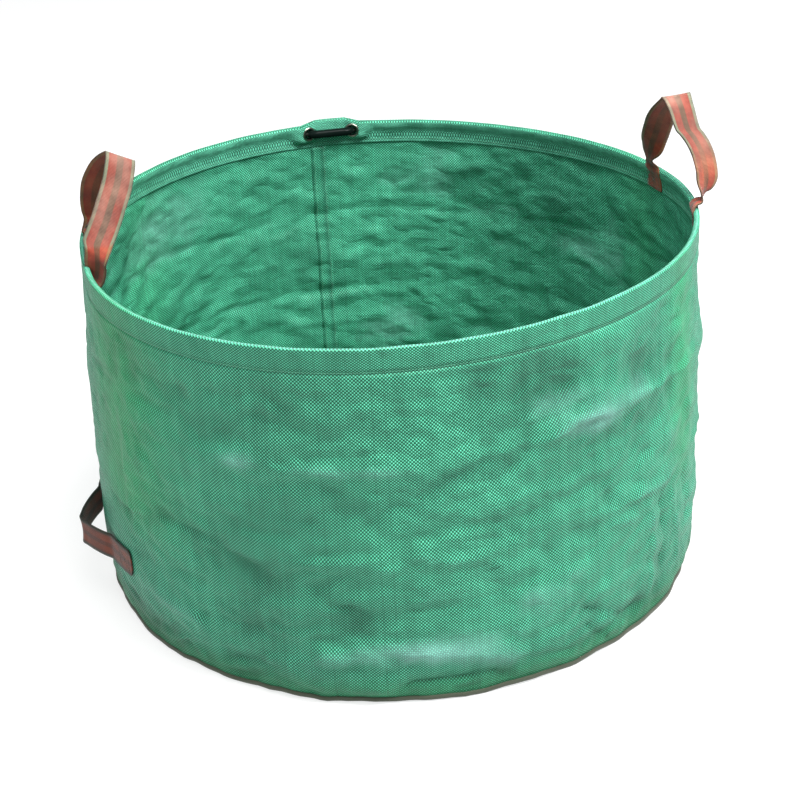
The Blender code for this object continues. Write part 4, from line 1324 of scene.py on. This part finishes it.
# %% Eyelets and washers
def spun_ring(name, outline, segments, matrix, finish):
    mesh = bmesh.new()
    corners = [mesh.verts.new((radius, 0, height)) for radius, height in outline]
    edges = [mesh.edges.new(pair) for pair in zip(corners, corners[1:] + corners[:1])]
    bmesh.ops.spin(
        mesh, geom=corners + edges, cent=(0, 0, 0), axis=(0, 0, 1), angle=2 * math.pi,
        steps=segments, use_merge=True,
    )
    bmesh.ops.recalc_face_normals(mesh, faces=mesh.faces)
    mesh.transform(matrix)
    data = kept_mesh(mesh, name)
    data.shade_smooth()
    data.set_sharp_from_angle(angle=math.radians(50))
    return add_object(name, data, finish)


EYELET_OUTLINE = (
    (0.0075, -0.0019), (0.0075, 0.0008), (0.0077, 0.0013), (0.0082, 0.0017), (0.0090, 0.0019),
    (0.0099, 0.0017), (0.0106, 0.0013), (0.0110, 0.0008), (0.0108, 0.0006), (0.0081, 0.0006),
    (0.0081, -0.0019),
)
WASHER_OUTLINE = (
    (0.0084, -0.0008), (0.0098, -0.0008), (0.0100, -0.0010), (0.0100, -0.0014),
    (0.0098, -0.0016), (0.0084, -0.0016),
)


def make_eyelet(hand, side):
    matrix = eyelet_frame(side)
    ring = spun_ring(f"{hand}_eyelet_ring", EYELET_OUTLINE, 48, matrix, NICKEL)
    washer = spun_ring(f"{hand}_washer_ring", WASHER_OUTLINE, 40, matrix, NICKEL)
    belongs(washer, "rim", "eyelet_metal", f"{hand}_eyelet_washer")
    return belongs(ring, "rim", "eyelet_metal", f"{hand}_eyelet")


for hand, side in (("right", -1), ("left", 1)):
    print(make_eyelet(hand, side).name)

# %% [markdown]
# ## The handles
#
# Each handle is one strap of webbing: sewn flat inside the hem, up over the rim with a quarter
# twist in each leg, so that its face turns to the hand at the top. The strap is a grid that is
# laid along a smooth line, with a width direction at every point of it. It crosses the joint of
# its loop.

# %% Lay a strap along a line
STRAP_THICKNESS = 0.0017
STRAP_COLUMNS = 10
STRAP_STEP = 0.0016
KNOT_SAMPLES = 8


def even_steps(points):
    """The same line with points at even steps, and how far along it they lie."""
    length = distances(points)[-1]
    stops = np.linspace(0, length, int(round(length / STRAP_STEP)) + 1)
    return at_stops(points, stops), stops


def unit(vectors):
    return vectors / np.linalg.norm(vectors, axis=-1, keepdims=True)


def lay_strap(name, line, wide, stops, cup, finish, narrow):
    """A strap on a line: wide is its width direction at each point, cup how far it curls."""
    rows = len(line) - 1
    data, across, along = flat_sheet(STRAP_COLUMNS, rows)
    row = np.round(along * rows).astype(int)
    map_cloth(data, (across - 0.5) * WEBBING_WIDTH, stops[row])
    wide = unit(wide)
    thin = unit(np.cross(np.gradient(line, axis=0), wide))[row]
    half = (WEBBING_WIDTH / 2 * narrow)[row]
    bend = np.maximum(np.abs(cup), 0.02)[row]
    side = 2 * across - 1
    reach = half * np.sin(side * bend) / bend
    depth = half * np.sign(cup + 1e-9)[row] * (1 - np.cos(side * bend)) / bend
    move_vertices(data, line[row] + wide[row] * reach[:, None] + thin * depth[:, None])
    return bake_modifiers(thicken(add_object(name, data, finish), STRAP_THICKNESS))


def paint_underside(data, heart, rim_line):
    """Marks painted shade on the face that looks to the loop's heart, and on the stretch below a
    line at the rim.
    """
    places = read_rows(data.vertices, "co")
    facing = ((heart - places) * read_rows(data.vertices, "normal")).sum(axis=1)
    height, softness, strength = rim_line
    below = smooth((height - places[:, 2]) / softness) * strength
    paint(data, "under", np.maximum(smooth(facing / 0.012 + 0.5), below))


print("strap columns:", STRAP_COLUMNS)

# %% [markdown]
# Each carrying handle is described from one sewn end to the other. The ends are given by azimuth,
# radius and height, and the loop by its place along, out from and above its hinge. The last
# number of a row is the turn of the strap: flat along the rim at 180 degrees, across it at 90.
# The loops have been folded flat, so each has a sharp bend at its top.

# %% Lines of the carrying handles
# Place and direction of each hinge, and how far its loop leans out, in degrees
HINGES = {
    "right": ((0.380766, 0.056599, 0.483), (0.168412, -0.985717, 0), 6.0),
    "left": ((-0.370705, -0.055709, 0.483), (-0.126586, 0.991956, 0), -25.0),
}
TAB_LINE = (
    (0.3967, 0.4440), (0.3967, 0.4490), (0.3961, 0.4560), (0.3945, 0.4630), (0.3925, 0.4690),
    (0.3915, 0.4740),
)
# Rows on the rim: azimuth, radius, height and turn
RIGHT_BACK = ((20.0, 0.3915, 0.4790, 178),)
RIGHT_FRONT = (
    (-2.7, 0.4045, 0.4845, 165), (-3.0, 0.3985, 0.4830, 175), (-3.1, 0.3940, 0.4800, 178),
)
LEFT_FRONT = (
    (199.6, 0.3915, 0.4555, 170), (199.8, 0.3860, 0.4640, 156), (199.9, 0.3835, 0.4740, 143),
)
LEFT_BACK = ((180.5, 0.3925, 0.4850, 170), (180.4, 0.3918, 0.4795, 177))
# Rows of a loop: along, out, up and turn
RIGHT_LOOP = (
    (-0.0775, -0.0014, 0.0050, 177), (-0.0722, -0.0026, 0.0130, 169),
    (-0.0654, -0.0034, 0.0233, 152), (-0.0579, -0.0044, 0.0348, 134),
    (-0.0493, -0.0044, 0.0471, 121), (-0.0355, -0.0046, 0.0672, 110),
    (-0.0263, -0.0050, 0.0804, 101), (-0.0145, -0.0036, 0.0955, 92), (0.0015, 0.0012, 0.1130, 83),
    (0.0058, 0.0024, 0.1184, 81), (0.0076, 0.0028, 0.1196, 80), (0.0091, 0.0035, 0.1180, 82),
    (0.0186, 0.0063, 0.1060, 99), (0.0320, 0.0102, 0.0826, 106), (0.0372, 0.0151, 0.0745, 109),
    (0.0437, 0.0207, 0.0642, 111), (0.0507, 0.0246, 0.0525, 112), (0.0565, 0.0261, 0.0425, 113),
    (0.0613, 0.0265, 0.0339, 114), (0.0667, 0.0256, 0.0239, 114), (0.0725, 0.0225, 0.0138, 124),
    (0.0752, 0.0180, 0.0080, 144),
)
LEFT_LOOP = (
    (-0.0725, -0.0078, 0.0061, 131), (-0.0662, -0.0076, 0.0140, 116),
    (-0.0605, -0.0092, 0.0200, 103), (-0.0526, -0.0155, 0.0306, 94),
    (-0.0447, -0.0240, 0.0464, 90), (-0.0361, -0.0314, 0.0621, 90), (-0.0277, -0.0406, 0.0824, 90),
    (-0.0194, -0.0467, 0.1029, 90), (-0.0135, -0.0482, 0.1105, 90), (-0.0106, -0.0480, 0.1120, 90),
    (-0.0075, -0.0466, 0.1112, 90), (0.0030, -0.0362, 0.1030, 90), (0.0130, -0.0252, 0.0900, 90),
    (0.0256, -0.0128, 0.0659, 92), (0.0380, -0.0068, 0.0390, 98), (0.0470, -0.0052, 0.0190, 112),
    (0.0520, -0.0040, 0.0090, 140),
)
# First sewn end's azimuth, rows from it, rows of the loop, rows to the last end, its azimuth
HANDLES = {
    "right": (20.0, RIGHT_BACK, RIGHT_LOOP, RIGHT_FRONT, -3.1),
    "left": (199.5, LEFT_FRONT, LEFT_LOOP, LEFT_BACK, 180.4),
}
print("rows of the loops:", len(RIGHT_LOOP), len(LEFT_LOOP))

# %% [markdown]
# The width direction turns with the strap, and near the rim it follows the rim. The right strap
# bunches up where it crosses the rim. The undersides of the loops see little light and are warm
# from the other strap's face, so they are painted as such.

# %% Carrying handles
# How much of its width a strap loses where it bunches up over the rim, and at what height
RIM_PINCH = {"right": 0.42, "left": 0.0}
RIM_CROSSING = 0.488
# Where the sunless part of a loop begins: height, softness and strength
RIM_LINES = {"right": (0.565, 0.050, 0.80), "left": (0.502, 0.004, 0.90)}
UP = np.array((0, 0, 1))


def handle_frame(hand):
    """The hinge's place, its directions along and out, and the outward lean of the loop."""
    middle, along, lean = HINGES[hand]
    along = np.array(along)
    return np.array(middle), along, np.cross(UP, along), math.radians(lean)


def handle_rows(hand):
    """Knots of a carrying strap from end to end: X, Y, Z and turn."""
    first, start, loop, finish, last = HANDLES[hand]
    middle, along, out, _ = handle_frame(hand)
    tab = TAB_LINE if hand == "right" else TAB_LINE[:2]
    rows = [(*spot(first, radius, height), 180) for radius, height in tab]
    rows += [(*spot(*place), turn) for *place, turn in start]
    rows += [(*(middle + along * u + out * v + UP * h), turn) for u, v, h, turn in loop]
    rows += [(*spot(*place), turn) for *place, turn in finish]
    return rows + [(*spot(last, radius, height), 180) for radius, height in TAB_LINE[::-1]]


def make_carrying_handle(hand):
    middle, middle_run, out, lean = handle_frame(hand)
    level = out * math.cos(lean) - UP * math.sin(lean)
    knots = curve_through(handle_rows(hand), KNOT_SAMPLES)
    line, stops = even_steps(knots[:, :3])
    height = line[:, 2]
    turn = np.radians(np.interp(stops, distances(knots[:, :3]), knots[:, 3]))[:, None]
    rising = np.tanh((stops[height.argmax()] - stops) / 0.01)[:, None]
    at_rim = smooth((RIM_CROSSING - height) / 0.007)[:, None]
    level_run = mix(middle_run, unit(np.cross(line, UP)), at_rim)
    crosswise = UP * (1 - rising ** 2) - level_run * rising
    wide = crosswise * np.cos(turn) + level * np.sin(turn)
    cup = 0.55 * np.sin(2 * turn[:, 0]) ** 2
    narrow = 1 - RIM_PINCH[hand] * bell((height - RIM_CROSSING) / 0.009)
    strap = lay_strap(f"{hand}_webbing", line, wide, stops, cup, WEBBING, narrow)
    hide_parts(*(f"{hand}_handle{part}" for part in ("", "_front_end", "_back_end")))
    paint_underside(strap.data, middle + UP * 0.05, RIM_LINES[hand])
    rise = out * math.sin(lean) + UP * math.cos(lean)
    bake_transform(strap)
    return strap


print("knots of the straps:", len(handle_rows("right")), len(handle_rows("left")))

# %% [markdown]
# Each sewn end is held by a box of stitches with a cross in it. The left front end turns away
# above its lowest row, so only that row is seen.

# %% Box stitching
# The thread's radius, and how far its middle stands off the strap
BOX_RADIUS = 0.00038
THREAD_OFF = 0.0002
# Middle height, half height and half width of the box on a carrying handle's end
TAB_BOX = (0.4575, 0.0105, 0.014)


def box_stitches(name, body, node, place, counts, shown=slice(None)):
    """A box with a cross in it, whose places come from two shares that run from -1 to 1."""
    steps, end_steps = (np.linspace(-1, 1, count) for count in counts)
    lines = [place(way, steps) for way in (-1, 1)] + [place(end_steps, way) for way in (-1, 1)]
    lines += [place(way * steps, steps) for way in (-1, 1)]
    thread = sew(name, lines[shown], BOX_THREAD, radius=BOX_RADIUS)
    return belongs(thread, body, "thread", node)


def on_tab(azimuth):
    """Places on the inner face of the sewn end at this azimuth."""
    radii, heights = zip(*TAB_LINE)
    middle, half_height, half_width = TAB_BOX

    def place(across, up):
        height = middle + half_height * up
        radius = np.interp(height, heights, radii) - STRAP_THICKNESS / 2 - THREAD_OFF
        return spot(azimuth + across * math.degrees(half_width / RIM_RADIUS), radius, height)

    return place


for hand, ends in (("right", ("back", "front")), ("left", ("front", "back"))):
    strap = make_carrying_handle(hand)
    print(strap.name, len(strap.data.polygons), "faces")
    for end, azimuth in zip(ends, (HANDLES[hand][0], HANDLES[hand][-1])):
        shown = slice(2, 3) if (hand, end) == ("left", "front") else slice(None)
        node = f"{hand}_handle_{end}_stitching"
        box = box_stitches(f"{hand}_{end}_box", "rim", node, on_tab(azimuth), (7, 5), shown)
        print(box.name, len(box.data.polygons), "faces")

# %% [markdown]
# The tipping handle is the same webbing, worn darker by the ground. It is sewn flat on the
# outside of the wall and stands out in a flat loop with one sharp bend, where it has been
# pressed against the wall in storage.

# %% Tipping handle
TIP_APEX = (-0.4245, -0.1149, 0.0950)
# Box stitching: first and last azimuth, and half its height
TIP_BOXES = {"back": (180.2, 183.8), "front": (207.6, 211.8)}
TIP_BOX_RISE = 0.013


def tip_height(azimuth):
    """The strap climbs a little towards its front end."""
    heights = (0.098, 0.097, 0.0935, 0.0945, 0.100, 0.1035)
    return np.interp(azimuth, (180, 190, 198, 204, 209, 213), heights)


def tip_on_wall(azimuth, lift):
    """Points of the strap's middle on the wall, lifted off it by this much."""
    out = MID + SEAT + STRAP_THICKNESS / 2 + np.array(lift)
    return wall_spot(azimuth, tip_height(azimuth), -out)


def tip_between(start, end, bow):
    """Four points between two places, bowed outwards."""
    share = np.linspace(0, 1, 6)[1:-1, None]
    line = mix(start, end, share)
    return line + unit(line * (1, 1, 0)) * bow * 4 * share * (1 - share)


def make_tipping_handle():
    back = tip_on_wall((179.4, 181.0, 182.6, 184.2, 185.6), (0, 0, 0, 0, 0.0008))
    front = tip_on_wall((203.0, 204.6, 206.4, 208.4, 210.6, 212.9), (0.0012, 0.0003, 0, 0, 0, 0))
    apex = np.array(TIP_APEX)
    rise, fall = tip_between(back[-1], apex, 0.0035), tip_between(apex, front[0], 0.0030)
    knots = np.vstack((back, rise, apex, fall, front))
    line, stops = even_steps(curve_through(knots, KNOT_SAMPLES))
    wide = np.tile((0.0, 0.0, 1.0), (len(line), 1))
    ends = np.minimum(stops, stops[-1] - stops)
    narrow = np.sqrt(np.clip(1 - ((0.007 - ends) / 0.0085).clip(0, 1) ** 2, 0.25, 1))
    cup = np.interp(stops, (0, 0.035, 0.10, 0.14, 0.22), (0, 0.25, 0.30, 0.10, 0))
    strap = lay_strap("tipping_webbing", line, wide, stops, cup, TIP_WEBBING, narrow)
    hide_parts("base_handle", "base_handle_front_end", "base_handle_back_end")
    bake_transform(strap)
    return strap


def on_tip_end(low, high):
    """Places on the outer face of the sewn end between these azimuths."""

    def place(up, across):
        azimuth = mix(low, high, (across + 1) / 2)
        out = MID + SEAT + STRAP_THICKNESS + THREAD_OFF
        return wall_spot(azimuth, tip_height(azimuth) + TIP_BOX_RISE * up, -out)

    return place


print(make_tipping_handle().name)
for end, reach in TIP_BOXES.items():
    node = f"base_handle_{end}_stitching"
    box_stitches(f"tipping_{end}_box", "base_handle_mount", node, on_tip_end(*reach), (6, 6))

# %% [markdown]
# The last cell lists any CAD part that is still shown.

# %% Finish
for name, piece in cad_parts.items():
    if not piece.hide_render:
        print("still shown as CAD:", name)
